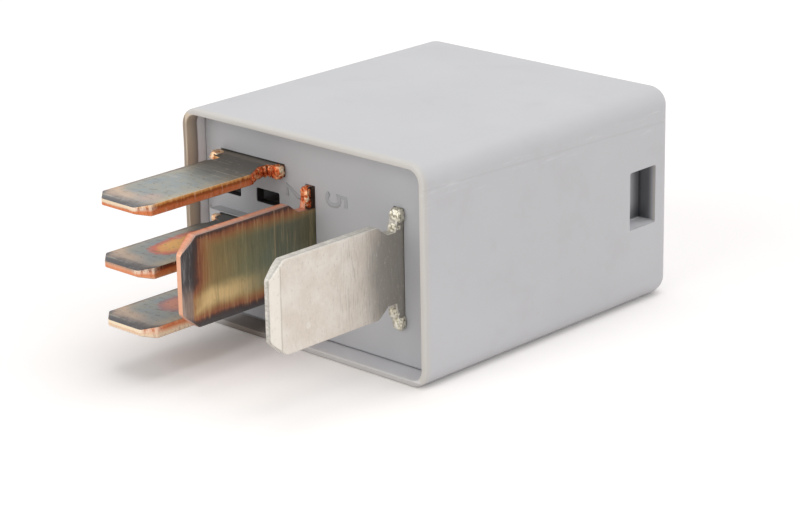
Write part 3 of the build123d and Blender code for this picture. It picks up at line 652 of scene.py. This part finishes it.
def brushed_metal(name, colour, lay, roughness):
    """Metal with fine lines that run one way, drawn out where the lay is under 1."""
    paint = material_paint(name)
    place = paint.position()
    lines = paint.noise(place, 1.5, 3.0, 0.65, lay)
    cloud = paint.noise(place, 0.6, 2.0)
    shade = paint.mix(lines.step(0.3, 0.75), scaled(colour, 0.8), colour)
    return paint.finish(shade, cloud * 0.12 + roughness, 0.95, paint.bump(lines, 0.01 * MM, 0.5))


def enamelled_wire(name, colour, turn):
    """Copper wire under clear enamel, with the shade between one turn and the next."""
    paint = material_paint(name)
    place = paint.position()
    along = paint.parts(place)[1]
    wave = (along * (2 * math.pi / (turn / MM))).maths("SINE")
    cloud = paint.noise(place, 1.2, 3.0)
    shade = paint.mix(cloud.step(0.3, 0.7), scaled(colour, 0.7), colour)
    shade = paint.coats(shade, [((wave * -0.5 + 0.5).step(0.6, 1.0), 0.6, (70, 30, 16))])
    return paint.finish(shade, cloud * 0.1 + 0.2, 0.8, paint.bump(wave, 0.03 * MM, 0.5))


def nylon(name, colour):
    """Natural nylon: milky, with faint flow clouds."""
    paint = material_paint(name)
    place = paint.position()
    cloud = paint.noise(place, 0.5, 3.0)
    shade = paint.mix(cloud.step(0.3, 0.7), scaled(colour, 0.88), colour)
    grain = paint.noise(place, 7.0, 2.0)
    return paint.finish(shade, cloud * 0.12 + 0.36, normal=paint.bump(grain, 0.01 * MM, 0.4))


def banded_lacquer(name, body_colour, bands):
    """Lacquered resistor with its generic colour bands, in shares of its half length."""
    paint = material_paint(name)
    low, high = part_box("resistor")
    place = paint.position((low + high) / 2)
    share = paint.parts(place)[2] / ((high.z - low.z) / 2 / MM)
    cloud = paint.noise(place, 1.5, 3.0)
    shade = paint.mix(cloud.step(0.3, 0.7), scaled(body_colour, 0.85), body_colour)
    for centre, colour in bands:
        shade = paint.mix(abs(share - centre).until(0.07, 0.09), shade, srgb(*colour))
    grain = paint.noise(place, 4.0, 3.0)
    return paint.finish(shade, cloud * 0.1 + 0.22, normal=paint.bump(grain, 0.01 * MM, 0.5))


def make_object(name, mesh, material, body):
    """New piece at the origin with its finish, which rides on a body if one is given."""
    piece = bpy.data.objects.new(name, mesh)
    bpy.context.scene.collection.objects.link(piece)
    mesh.materials.clear()
    mesh.materials.append(material)
    if body:
        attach(piece, body)
    return piece


def cad_node(node):
    """Object of a CAD node, which is never moved or reshaped."""
    if node not in frame["nodes"]:
        raise RuntimeError(f"the packed model has no node named {node}")
    return frame["nodes"][node]


def paint_nodes(material, *nodes):
    """Gives CAD nodes their material."""
    for node in nodes:
        for mesh_slot in cad_node(node).material_slots:
            mesh_slot.material = material


def welded_mesh(node):
    """Bmesh of a CAD node with its loose triangles joined and its flat faces whole."""
    work = bmesh.new()
    work.from_mesh(cad_node(node).data)
    bmesh.ops.remove_doubles(work, verts=work.verts, dist=0.001 * MM)
    bmesh.ops.dissolve_limit(work, angle_limit=math.radians(0.4), verts=work.verts, edges=work.edges)
    return work


def plain_mesh(work, name):
    """Mesh of a bmesh's corners and faces alone, without the normals that came with them."""
    work.verts.index_update()
    points = [corner.co.copy() for corner in work.verts]
    faces = [[corner.index for corner in face.verts] for face in work.faces]
    work.free()
    mesh = bpy.data.meshes.new(name)
    mesh.from_pydata(points, [], faces)
    mesh.update()
    return mesh


def evaluated_mesh(piece, name):
    """Plain mesh of an object with its modifiers worked out; the object is removed."""
    bpy.context.view_layer.update()
    graph = bpy.context.evaluated_depsgraph_get()
    mesh = bpy.data.meshes.new_from_object(piece.evaluated_get(graph))
    mesh.name = name
    bpy.data.objects.remove(piece)
    return mesh


def rounded(mesh, name, width):
    """The mesh with its sharp edges rounded and its faces shaded smoothly."""
    mesh.shade_smooth()
    piece = bpy.data.objects.new(name + "_blank", mesh)
    bpy.context.scene.collection.objects.link(piece)
    bevel = piece.modifiers.new("edges", "BEVEL")
    bevel.width = width
    bevel.segments = 2
    bevel.limit_method = "ANGLE"
    bevel.angle_limit = math.radians(28)
    bevel.harden_normals = True
    return evaluated_mesh(piece, name)


def dressed(node, name, width, material, shape=None):
    """Piece that stands for a still CAD node: its own form, with rounded edges."""
    work = welded_mesh(node)
    if shape:
        shape(work)
    mesh = rounded(plain_mesh(work, name), name, width)
    piece = make_object(name, mesh, material, STILL_BODY)
    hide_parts(node)
    return piece


def wander_rim(work):
    """Lets the cover's thin rim wander a little inward, with one worn spot on its left side."""
    reach = 0.3 * MM
    shortest = 1.0 * MM
    cuts = 28
    wave_length = 1.7 * MM
    worn_z, worn_reach, worn_depth = 12.3 * MM, 1.1 * MM, 0.06 * MM
    depth = bpy.context.scene.case_settings.rim_waviness
    long_edges = [edge for edge in work.edges
                  if all(corner.co.y < MOUTH_Y + reach for corner in edge.verts)
                  and edge.calc_length() > shortest]
    bmesh.ops.subdivide_edges(work, edges=long_edges, cuts=cuts, use_grid_fill=True)
    for corner in work.verts:
        if corner.co.y > MOUTH_Y + reach:
            continue
        share = 1 - (corner.co.y - MOUTH_Y) / reach
        wave = noise.noise(corner.co / wave_length) * 0.5 + 0.5
        push = depth * wave * share
        if corner.co.x < COVER_LOW.x + reach * 2:
            push += worn_depth * share * math.exp(-((corner.co.z - worn_z) / worn_reach) ** 2)
        past_low, past_high = corner.co - COVER_LOW, COVER_HIGH - corner.co
        inward = min((past_low.x, (1, 0, 0)), (past_high.x, (-1, 0, 0)),
                     (past_low.z, (0, 0, 1)), (past_high.z, (0, 0, -1)), key=lambda side: side[0])[1]
        corner.co += Vector(inward) * push
        corner.co.y += depth * 0.5 * wave * share


def torn_point(flat, centre, size, seed, ridge):
    """Place on a torn lump of a point on a cube from -1 to 1.

    ridge scales the noise along X, Y and Z, so that the ridges run along the axis with a small part.
    """
    squareness = 2.8
    coarse_scale, fine_scale = 1.3, 4.1
    coarse_depth, fine_depth, sunk = 1.6, 0.45, 0.9
    depth = bpy.context.scene.blade_settings.lump_roughness
    start = Vector((seed * 7.31, seed * 3.17, seed * 5.73))
    reach = sum(abs(part) ** squareness for part in flat) ** (1 / squareness)
    block = flat / reach * max(abs(part) for part in flat)
    stretched = Vector(block[axis] * ridge[axis] for axis in range(3))
    coarse = noise.turbulence(stretched * coarse_scale + start, 3, True)
    fine = noise.noise(stretched * fine_scale + start)
    place = Vector(block[axis] * size[axis] / 2 for axis in range(3))
    torn = coarse * coarse_depth - sunk + fine * fine_depth
    return centre + place + block.normalized() * depth * torn


def lump_piece(name, lumps, material):
    """Piece of torn lumps on a terminal's ears."""
    cuts = 11
    points = []
    faces = []
    for index, (centre, size, ridge) in enumerate(lumps):
        block = bmesh.new()
        bmesh.ops.create_cube(block, size=2.0)
        bmesh.ops.subdivide_edges(block, edges=block.edges[:], cuts=cuts, use_grid_fill=True)
        block.verts.index_update()
        first = len(points)
        points += [torn_point(corner.co, centre, size, index + len(name), ridge) for corner in block.verts]
        faces += [[first + corner.index for corner in face.verts] for face in block.faces]
        block.free()
    mesh = bpy.data.meshes.new(name)
    mesh.from_pydata(points, [], faces)
    mesh.shade_smooth()
    return make_object(name, mesh, material, STILL_BODY)


def beside(blade, across, out, through):
    """Point beside a blade: across from its centre line, out from the base's face, through the sheet."""
    centre = MOUNT_AT[blade.mount]
    if blade.upright:
        return Vector((centre.x + through, BASE_FACE - out, centre.z + across))
    return Vector((centre.x + across, BASE_FACE - out, centre.z + through))


def lump_size(blade, across, out, through):
    """Size of a lump along X, Y and Z, from its size in millimetres across, out and through."""
    if blade.upright:
        return through * MM, out * MM, across * MM
    return across * MM, out * MM, through * MM


class RELAY_OT_cover(bpy.types.Operator):
    """Make the moulded cover with its worn rim"""
    bl_idname = "relay.cover"
    bl_label = "Cover"

    def execute(self, context):
        case = context.scene.case_settings
        plastic = moulded_plastic("cover_plastic_look", tuple(case.cover_colour), cover_shade)
        dressed("cover", "cover_shell", case.edge_rounding, plastic, wander_rim)
        return {"FINISHED"}


class RELAY_OT_base(bpy.types.Operator):
    """Make the moulded base"""
    bl_idname = "relay.base"
    bl_label = "Base"

    def execute(self, context):
        case = context.scene.case_settings
        plastic = moulded_plastic("base_plastic_look", tuple(case.base_colour), base_shade)
        dressed("base", "base_plate", case.edge_rounding * 0.5, plastic)
        return {"FINISHED"}


class RELAY_OT_digits(bpy.types.Operator):
    """Raise the plain digits that number the blades on the base"""
    bl_idname = "relay.digits"
    bl_label = "Digits"

    def execute(self, context):
        case = context.scene.case_settings
        # The digits are painted darker than the base: painted shade for their low relief
        digit_shade_share = 0.82
        plastic = moulded_plastic("digit_plastic_look", scaled(case.base_colour, digit_shade_share))
        tree = stroke_tree()
        # Line of each digit in shares of its width and height
        lines = {
            "1": [(0.25, 0.75), (0.55, 1.0), (0.55, 0.0)],
            "2": [(0.1, 0.78), (0.3, 0.97), (0.6, 1.0), (0.85, 0.82), (0.82, 0.6), (0.1, 0.0), (0.92, 0.0)],
            "3": [(0.12, 0.85), (0.45, 1.0), (0.82, 0.85), (0.8, 0.62), (0.42, 0.54), (0.85, 0.42),
                  (0.86, 0.12), (0.5, 0.0), (0.1, 0.12)],
            "4": [(0.7, 0.0), (0.7, 1.0), (0.08, 0.3), (0.95, 0.3)],
            "5": [(0.85, 1.0), (0.2, 1.0), (0.14, 0.56), (0.3, 0.64), (0.5, 0.67), (0.7, 0.62), (0.85, 0.5),
                  (0.9, 0.33), (0.86, 0.16), (0.72, 0.04), (0.5, 0.0), (0.28, 0.02), (0.1, 0.12)],
        }
        # Centre along X and Z, height and width, in millimetres
        places = {
            "5": (1.86, 10.72, 1.75, 1.0), "2": (-1.95, 10.55, 1.7, 0.9), "4": (-10.35, 7.5, 0.6, 0.7),
            "3": (5.5, 7.5, 1.7, 0.9), "1": (-1.9, 3.1, 1.7, 0.5),
        }
        for digit, (x, z, tall, wide) in places.items():
            route = [Vector(((x + (top - 0.5) * tall) * MM, BASE_FACE, (z - (right - 0.5) * wide) * MM))
                     for right, top in lines[digit]]
            name = "digit_" + digit
            mesh = stroke_mesh(tree, name, route, case.digit_stroke / 2, case.digit_relief, plastic)
            make_object(name, mesh, plastic, STILL_BODY)
        return {"FINISHED"}


def node_tree(name, inputs):
    """New geometry nodes tree with named inputs and one output, and its two end nodes."""
    tree = bpy.data.node_groups.new(name, "GeometryNodeTree")
    for label, kind in inputs.items():
        tree.interface.new_socket(label, in_out="INPUT", socket_type="NodeSocket" + kind)
    tree.interface.new_socket("Geometry", in_out="OUTPUT", socket_type="NodeSocketGeometry")
    return tree, tree.nodes.new("NodeGroupInput"), tree.nodes.new("NodeGroupOutput")


def end_as_tube(tree, enter, leave, line, sides):
    """Ends a tree with a capped tube along a line, made real and given its material."""
    section = tree.nodes.new("GeometryNodeCurvePrimitiveCircle")
    section.inputs["Resolution"].default_value = sides
    tube = tree.nodes.new("GeometryNodeCurveToMesh")
    tube.inputs["Fill Caps"].default_value = True
    realize = tree.nodes.new("GeometryNodeRealizeInstances")
    finish = tree.nodes.new("GeometryNodeSetMaterial")
    for start, end in (
            (line, tube.inputs["Curve"]),
            (enter.outputs["Tube radius"], section.inputs["Radius"]),
            (section.outputs["Curve"], tube.inputs["Profile Curve"]),
            (tube.outputs["Mesh"], realize.inputs[0]),
            (realize.outputs[0], finish.inputs["Geometry"]),
            (enter.outputs["Finish"], finish.inputs["Material"]),
            (finish.outputs[0], leave.inputs[0])):
        tree.links.new(start, end)


def stroke_tree():
    """Geometry nodes that lay a round stroke along a line."""
    sides = 12
    tree, enter, leave = node_tree("moulded_stroke", {
        "Geometry": "Geometry", "Tube radius": "Float", "Finish": "Material"})
    end_as_tube(tree, enter, leave, enter.outputs["Geometry"], sides)
    return tree


def noded_mesh(name, data, tree, inputs):
    """Plain mesh of what a tree makes of a mesh or curve, with its inputs set by their identifiers."""
    blank = bpy.data.objects.new(name + "_blank", data)
    bpy.context.scene.collection.objects.link(blank)
    modifier = blank.modifiers.new("nodes", "NODES")
    modifier.node_group = tree
    for item in tree.interface.items_tree:
        if item.item_type == "SOCKET" and item.in_out == "INPUT" and item.name in inputs:
            modifier[item.identifier] = inputs.pop(item.name)
    if inputs:
        raise RuntimeError(f"the tree {tree.name} has no inputs named {list(inputs)}")
    return evaluated_mesh(blank, name)


def stroke_mesh(tree, name, route, radius, relief, material):
    """Mesh of a low moulded stroke on the base's face, along a line of points."""
    curve = bpy.data.curves.new(name + "_line", "CURVE")
    curve.dimensions = "3D"
    spline = curve.splines.new("POLY")
    spline.points.add(len(route) - 1)
    for point, place in zip(spline.points, route):
        point.co = (*place, 1.0)
    mesh = noded_mesh(name, curve, tree, {"Tube radius": radius, "Finish": material})
    work = bmesh.new()
    work.from_mesh(mesh)
    for corner in work.verts:
        corner.co.y = BASE_FACE + (corner.co.y - BASE_FACE) * relief / radius
    bmesh.ops.recalc_face_normals(work, faces=work.faces)
    work.to_mesh(mesh)
    work.free()
    mesh.shade_smooth()
    return mesh


class RELAY_OT_blades(bpy.types.Operator):
    """Make the five terminals: four of tarnished copper and one tinned"""
    bl_idname = "relay.blades"
    bl_label = "Blades"

    def execute(self, context):
        width = context.scene.blade_settings.edge_rounding
        # Warm spots: centre along and across, reach along and across, inside, fringe, strength
        near_tip = ((1.9, 1.1, 1.0, 0.8), (204, 172, 148), (178, 154, 146), 0.4)
        red = ((5.2, 0.2, 1.9, 1.5), (214, 140, 110), (170, 118, 120), 0.9)
        gold = ((6.0, 0.1, 3.3, 1.6), (246, 184, 84), (220, 104, 74), 0.97)
        # Colours toward each lying blade's root: tarnish, darkened as painted shade near the base
        brown, grey = (92, 84, 74), (92, 94, 92)
        # Colours of the cut edges, from the sheet's lower face to its upper one
        gilt = [(0.0, (246, 186, 146)), (0.12, (228, 136, 88)), (0.42, (222, 126, 74)),
                (0.56, (176, 92, 44)), (0.68, (168, 92, 40)), (0.8, (236, 166, 90)), (1.0, (255, 212, 150))]
        burr = [(0.0, (250, 214, 182)), (0.2, (238, 160, 116)), (0.5, (228, 138, 92)),
                (0.62, (196, 98, 60)), (0.72, (126, 70, 54)), (1.0, (104, 66, 56))]
        cream = [(0.0, (232, 206, 178)), (0.3, (250, 228, 200)), (0.5, (240, 190, 150)),
                 (0.7, (222, 128, 84)), (1.0, (236, 150, 104))]
        looks = {
            "coil_low": lying_copper("coil_low", [red], brown, cream, 0.9, 1.0),
            "coil_high": lying_copper("coil_high", [near_tip], brown, gilt, 0.7),
            "closed": lying_copper("closed", [gold], grey, burr, 1.0, 0.3),
            "open": upright_copper("open"),
            "common": matte_tin("common"),
        }
        for name, metal in looks.items():
            dressed(BLADES[name].node, name + "_blade", width, metal)
        return {"FINISHED"}


class RELAY_OT_ears(bpy.types.Operator):
    """Roughen the sheared ears that hold the terminals in the base"""
    bl_idname = "relay.ears"
    bl_label = "Sheared ears"

    def execute(self, context):
        deep = torn_metal("torn_copper", (164, 52, 20), (226, 112, 56), (255, 206, 160))
        pale = torn_metal("torn_pale_copper", (214, 130, 82), (252, 208, 164), (255, 240, 214))
        tin = torn_metal("torn_tin", (132, 128, 108), (226, 220, 200), (255, 252, 240))
        upright_ridge = (2.2, 1.4, 0.8)
        flat_ridge = (2.4, 2.4, 0.5)
        # Each lump in millimetres: across, out and through from beside(), then its size the same way
        ends = [(-3.1, 0.82, 0.2, 0.8, 0.95, 0.78)]
        inner = [(2.36, 0.38, -0.04, 0.74, 0.72, 1.04)]
        pad_ends = [(-2.75, 1.45, 0.14, 0.62, 0.7, 0.74)]
        pad_crust = [(2.66, 0.34, 0.06, 0.24, 0.46, 0.74)]
        flank = [(2.22, 2.68), (2.0, 2.34), (1.8, 2.0), (1.66, 1.66), (1.62, 1.3), (1.7, 0.96), (1.92, 0.7)]
        ridges = [(across, out, -0.02, 0.3, 0.3, 0.8) for across, out in flank]
        high = [(3.4, 0.32, -0.1, 1.0, 0.66, 0.68), (2.75, 0.34, -0.1, 0.9, 0.62, 0.72)]
        low = [(-across, *rest) for across, *rest in high]
        ear_crust = [(3.1, 0.5, 0.12, 0.42, 0.26, 0.34), (2.72, 0.56, 0.02, 0.3, 0.2, 0.26)]
        tinned = [(3.5, 0.3, 0.14, 1.0, 0.74, 1.0), (2.6, 0.42, -0.02, 0.8, 0.7, 0.94),
                  (-3.2, 0.42, -0.06, 0.8, 0.7, 0.9), (-3.95, 0.3, 0.2, 0.95, 0.72, 0.9)]
        groups = {
            "coil_low_ends": ("coil_low", ends, pale, flat_ridge),
            "coil_low_flank": ("coil_low", inner + ridges, deep, flat_ridge),
            "coil_high_ends": ("coil_high", ends, pale, flat_ridge),
            "coil_high_crust": ("coil_high", pad_crust, pale, flat_ridge),
            "coil_high_flank": ("coil_high", inner + ridges, deep, flat_ridge),
            "closed_ends": ("closed", pad_ends, pale, flat_ridge),
            "open_ear_crust": ("open", ear_crust, pale, upright_ridge),
            "open_ears": ("open", high + low, deep, upright_ridge),
            "common_ears": ("common", tinned, tin, upright_ridge),
        }
        for name, (blade, lumps, finish, ridge) in groups.items():
            places = [(beside(BLADES[blade], across * MM, out * MM, through * MM),
                       lump_size(BLADES[blade], *size), ridge)
                      for across, out, through, *size in lumps]
            lump_piece(name, places, finish)
        return {"FINISHED"}


class RELAY_OT_coil(bpy.types.Operator):
    """Finish the bobbin, wind its outer layer and finish the core"""
    bl_idname = "relay.coil"
    bl_label = "Coil"

    def execute(self, context):
        coil = context.scene.coil_settings
        wire = enamelled_wire("winding_enamel", tuple(coil.wire_colour), coil.wire_diameter)
        paint_nodes(nylon("bobbin_nylon", srgb(226, 222, 210)), "coil_bobbin")
        paint_nodes(wire, "coil_winding")
        paint_nodes(plated_iron("core_iron", srgb(176, 174, 168)), "coil_core")
        mesh = winding_mesh(coil.wire_diameter, wire)
        make_object("winding_outer_layer", mesh, wire, STILL_BODY)
        return {"FINISHED"}


def winding_tree():
    """Geometry nodes that wind one layer of wire along Z."""
    sides, steps_per_turn = 8, 40
    sizes = dict.fromkeys(("Radius", "Length", "Turns", "Tube radius"), "Float")
    tree, enter, leave = node_tree("wound_layer", {**sizes, "Finish": "Material"})
    helix = tree.nodes.new("GeometryNodeCurveSpiral")
    helix.inputs["Resolution"].default_value = steps_per_turn
    for given, name in (("Turns", "Rotations"), ("Radius", "Start Radius"), ("Radius", "End Radius"),
                        ("Length", "Height")):
        tree.links.new(enter.outputs[given], helix.inputs[name])
    end_as_tube(tree, enter, leave, helix.outputs["Curve"], sides)
    return tree


def winding_mesh(diameter, wire):
    """Outer layer of the coil's wire, wound over the solid winding between the flanges."""
    flange = 0.8 * MM
    sunk = 0.3 * diameter
    bobbin_low, bobbin_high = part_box("coil_bobbin")
    core_low, core_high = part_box("coil_core")
    middle = (core_low + core_high) / 2
    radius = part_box("coil_winding")[1].z - middle.z
    length = bobbin_high.y - bobbin_low.y - 2 * flange - 2 * diameter
    mesh = noded_mesh("winding_outer_layer", bpy.data.meshes.new("winding_start"), winding_tree(), {
        "Radius": radius - sunk, "Length": length, "Turns": length / diameter,
        "Tube radius": diameter / 2, "Finish": wire})
    start = Vector((middle.x, bobbin_low.y + flange + diameter, middle.z))
    mesh.transform(Matrix.Translation(start) @ Matrix.Rotation(-math.pi / 2, 4, "X"))
    mesh.shade_smooth()
    return mesh


class RELAY_OT_mechanism(bpy.types.Operator):
    """Finish the yoke, the armature, the contacts and the rivets, and make the spring's leaf with rounded
    edges
    """
    bl_idname = "relay.mechanism"
    bl_label = "Mechanism"

    def execute(self, context):
        iron = plated_iron("yoke_zinc", srgb(172, 172, 168))
        rivets = brushed_metal("rivet_steel", srgb(196, 196, 192), (3.0, 3.0, 3.0), 0.26)
        silver = brushed_metal("contact_silver_look", srgb(226, 224, 218), (2.0, 2.0, 2.0), 0.22)
        leaf = brushed_metal("spring_leaf_look", srgb(208, 150, 98), (0.3, 6.0, 6.0), 0.28)
        paint_nodes(iron, "yoke", "armature")
        paint_nodes(rivets, "armature_rivets", "yoke_rivets", "terminal_rivets")
        paint_nodes(silver, "moving_contact", "normally_open_contact", "normally_closed_contact")
        edge_rounding = 0.03 * MM
        spring = plain_mesh(welded_mesh("contact_spring"), "spring_leaf")
        mesh = rounded(spring, "spring_leaf", edge_rounding)
        piece = make_object("spring_leaf", mesh, leaf, None)
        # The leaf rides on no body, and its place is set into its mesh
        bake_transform(piece)
        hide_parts("contact_spring")
        return {"FINISHED"}


class RELAY_OT_resistor(bpy.types.Operator):
    """Finish the resistor with its colour bands, and its leads"""
    bl_idname = "relay.resistor"
    bl_label = "Resistor"

    def execute(self, context):
        # Middle of each band in shares of the half length, and its colour
        bands = [(-0.72, (40, 90, 190)), (-0.4, (120, 120, 124)), (-0.08, (110, 62, 34)),
                 (0.55, (196, 158, 74))]
        paint_nodes(banded_lacquer("resistor_lacquer", srgb(150, 190, 214), bands), "resistor")
        lead = brushed_metal("lead_tin", srgb(206, 204, 198), (2.0, 2.0, 0.3), 0.3)
        paint_nodes(lead, "resistor_leads")
        return {"FINISHED"}


class RELAY_OT_stage(bpy.types.Operator):
    """Set up the pale floor, the soft boxes and the camera"""
    bl_idname = "relay.stage"
    bl_label = "Stage"

    def execute(self, context):
        stage = context.scene.stage_settings
        make_floor(stage.floor_size)
        make_world(context.scene, stage.ambient)
        # Where each soft box stands, its share of the lamp distance in width, and its power
        boxes = {
            "soft_box_top": ((0.10, 0.20, 0.97), 0.9, 1.5),
            "soft_box_right": ((0.90, 0.10, 0.35), 0.8, 0.5),
            "soft_box_front": ((-0.15, -0.90, 0.40), 0.8, 1.3),
        }
        for name, (toward, width, power) in boxes.items():
            make_lamp(name, Vector(toward).normalized() * stage.lamp_distance,
                      width * stage.lamp_distance, power)
        make_camera(context.scene, stage)
        context.scene.view_settings.view_transform = "Standard"
        return {"FINISHED"}


def make_floor(size):
    """Pale floor that keeps the soft shadow and meets a white backdrop."""
    half = size / 2
    mesh = bpy.data.meshes.new("floor")
    mesh.from_pydata([(-half, -half, 0), (half, -half, 0), (half, half, 0), (-half, half, 0)],
                     [], [(0, 1, 2, 3)])
    floor = bpy.data.objects.new("floor", mesh)
    bpy.context.scene.collection.objects.link(floor)
    paint = material_paint("pale_floor")
    # The plain colour lights the relay, and the camera sees the paler one
    plain = paint.node("ShaderNodeBsdfDiffuse", values={"Color": (0.9, 0.875, 0.86, 1.0)})
    pale = paint.node("ShaderNodeBsdfDiffuse", values={"Color": (1.06, 1.035, 1.02, 1.0)})
    glow = paint.node("ShaderNodeEmission", values={"Color": WHITE, "Strength": 0.04})
    lifted = paint.node("ShaderNodeAddShader", values={0: pale, 1: glow})
    seen = paint.node("ShaderNodeLightPath", output="Is Camera Ray")
    material = paint.end(paint.node("ShaderNodeMixShader", values={0: seen, 1: plain, 2: lifted}))
    mesh.materials.append(material)


def make_world(scene, ambient):
    """Even studio light that looks white to the camera and in reflections."""
    paint = Paint(bpy.data.worlds.new("studio"))
    light = paint.node("ShaderNodeBackground", values={"Color": WHITE, "Strength": ambient})
    white = paint.node("ShaderNodeBackground", values={"Color": WHITE, "Strength": 1.0})
    to_camera = paint.node("ShaderNodeLightPath", output="Is Camera Ray")
    seen = to_camera.maths("MAXIMUM", paint.node("ShaderNodeLightPath", output="Is Glossy Ray"))
    mixed = paint.node("ShaderNodeMixShader", values={0: seen, 1: light, 2: white})
    scene.world = paint.end(mixed, "ShaderNodeOutputWorld")


def make_lamp(name, place, width, power):
    """Square soft box that faces the relay."""
    data = bpy.data.lights.new(name, "AREA")
    data.shape = "SQUARE"
    data.size = width
    data.energy = power
    lamp = bpy.data.objects.new(name, data)
    bpy.context.scene.collection.objects.link(lamp)
    lamp.location = place
    lamp.rotation_mode = "QUATERNION"
    lamp.rotation_quaternion = (-place).to_track_quat("-Z", "Y")


def make_camera(scene, stage):
    """Camera at the photograph's angle."""
    data = bpy.data.cameras.new("camera")
    data.lens = stage.lens
    data.sensor_width = 36.0
    data.clip_start = 0.01
    data.clip_end = 20.0
    camera = bpy.data.objects.new("camera", data)
    scene.collection.objects.link(camera)
    eye, target = Vector(stage.eye), Vector(stage.target)
    camera.location = eye
    camera.rotation_mode = "QUATERNION"
    aim = (target - eye).to_track_quat("-Z", "Y")
    camera.rotation_quaternion = aim @ Quaternion((0, 0, 1), stage.roll)
    scene.camera = camera


OPERATORS = (RELAY_OT_cover, RELAY_OT_base, RELAY_OT_digits, RELAY_OT_blades, RELAY_OT_ears,
             RELAY_OT_coil, RELAY_OT_mechanism, RELAY_OT_resistor, RELAY_OT_stage)
SETTINGS = {"case_settings": CaseSettings, "blade_settings": BladeSettings,
            "coil_settings": CoilSettings, "stage_settings": StageSettings}


class RELAY_PT_panel(bpy.types.Panel):
    """Lists the relay's pieces and its settings"""
    bl_label = "Relay"
    bl_idname = "RELAY_PT_panel"
    bl_space_type = "VIEW_3D"
    bl_region_type = "UI"
    bl_category = "Relay"

    def draw(self, context):
        for operator in OPERATORS:
            self.layout.operator(operator.bl_idname)
        for name, group in SETTINGS.items():
            box = self.layout.box()
            for setting in group.__annotations__:
                box.prop(getattr(context.scene, name), setting)


def register():
    for group in SETTINGS.values():
        bpy.utils.register_class(group)
    for name, group in SETTINGS.items():
        setattr(bpy.types.Scene, name, bpy.props.PointerProperty(type=group))
    for kind in (*OPERATORS, RELAY_PT_panel):
        bpy.utils.register_class(kind)


def unregister():
    for kind in (RELAY_PT_panel, *reversed(OPERATORS)):
        bpy.utils.unregister_class(kind)
    for name, group in SETTINGS.items():
        delattr(bpy.types.Scene, name)
        bpy.utils.unregister_class(group)


def main():
    register()
    for operator in OPERATORS:
        family, name = operator.bl_idname.split(".")
        getattr(getattr(bpy.ops, family), name)()


if __name__ == "__main__":
    main()
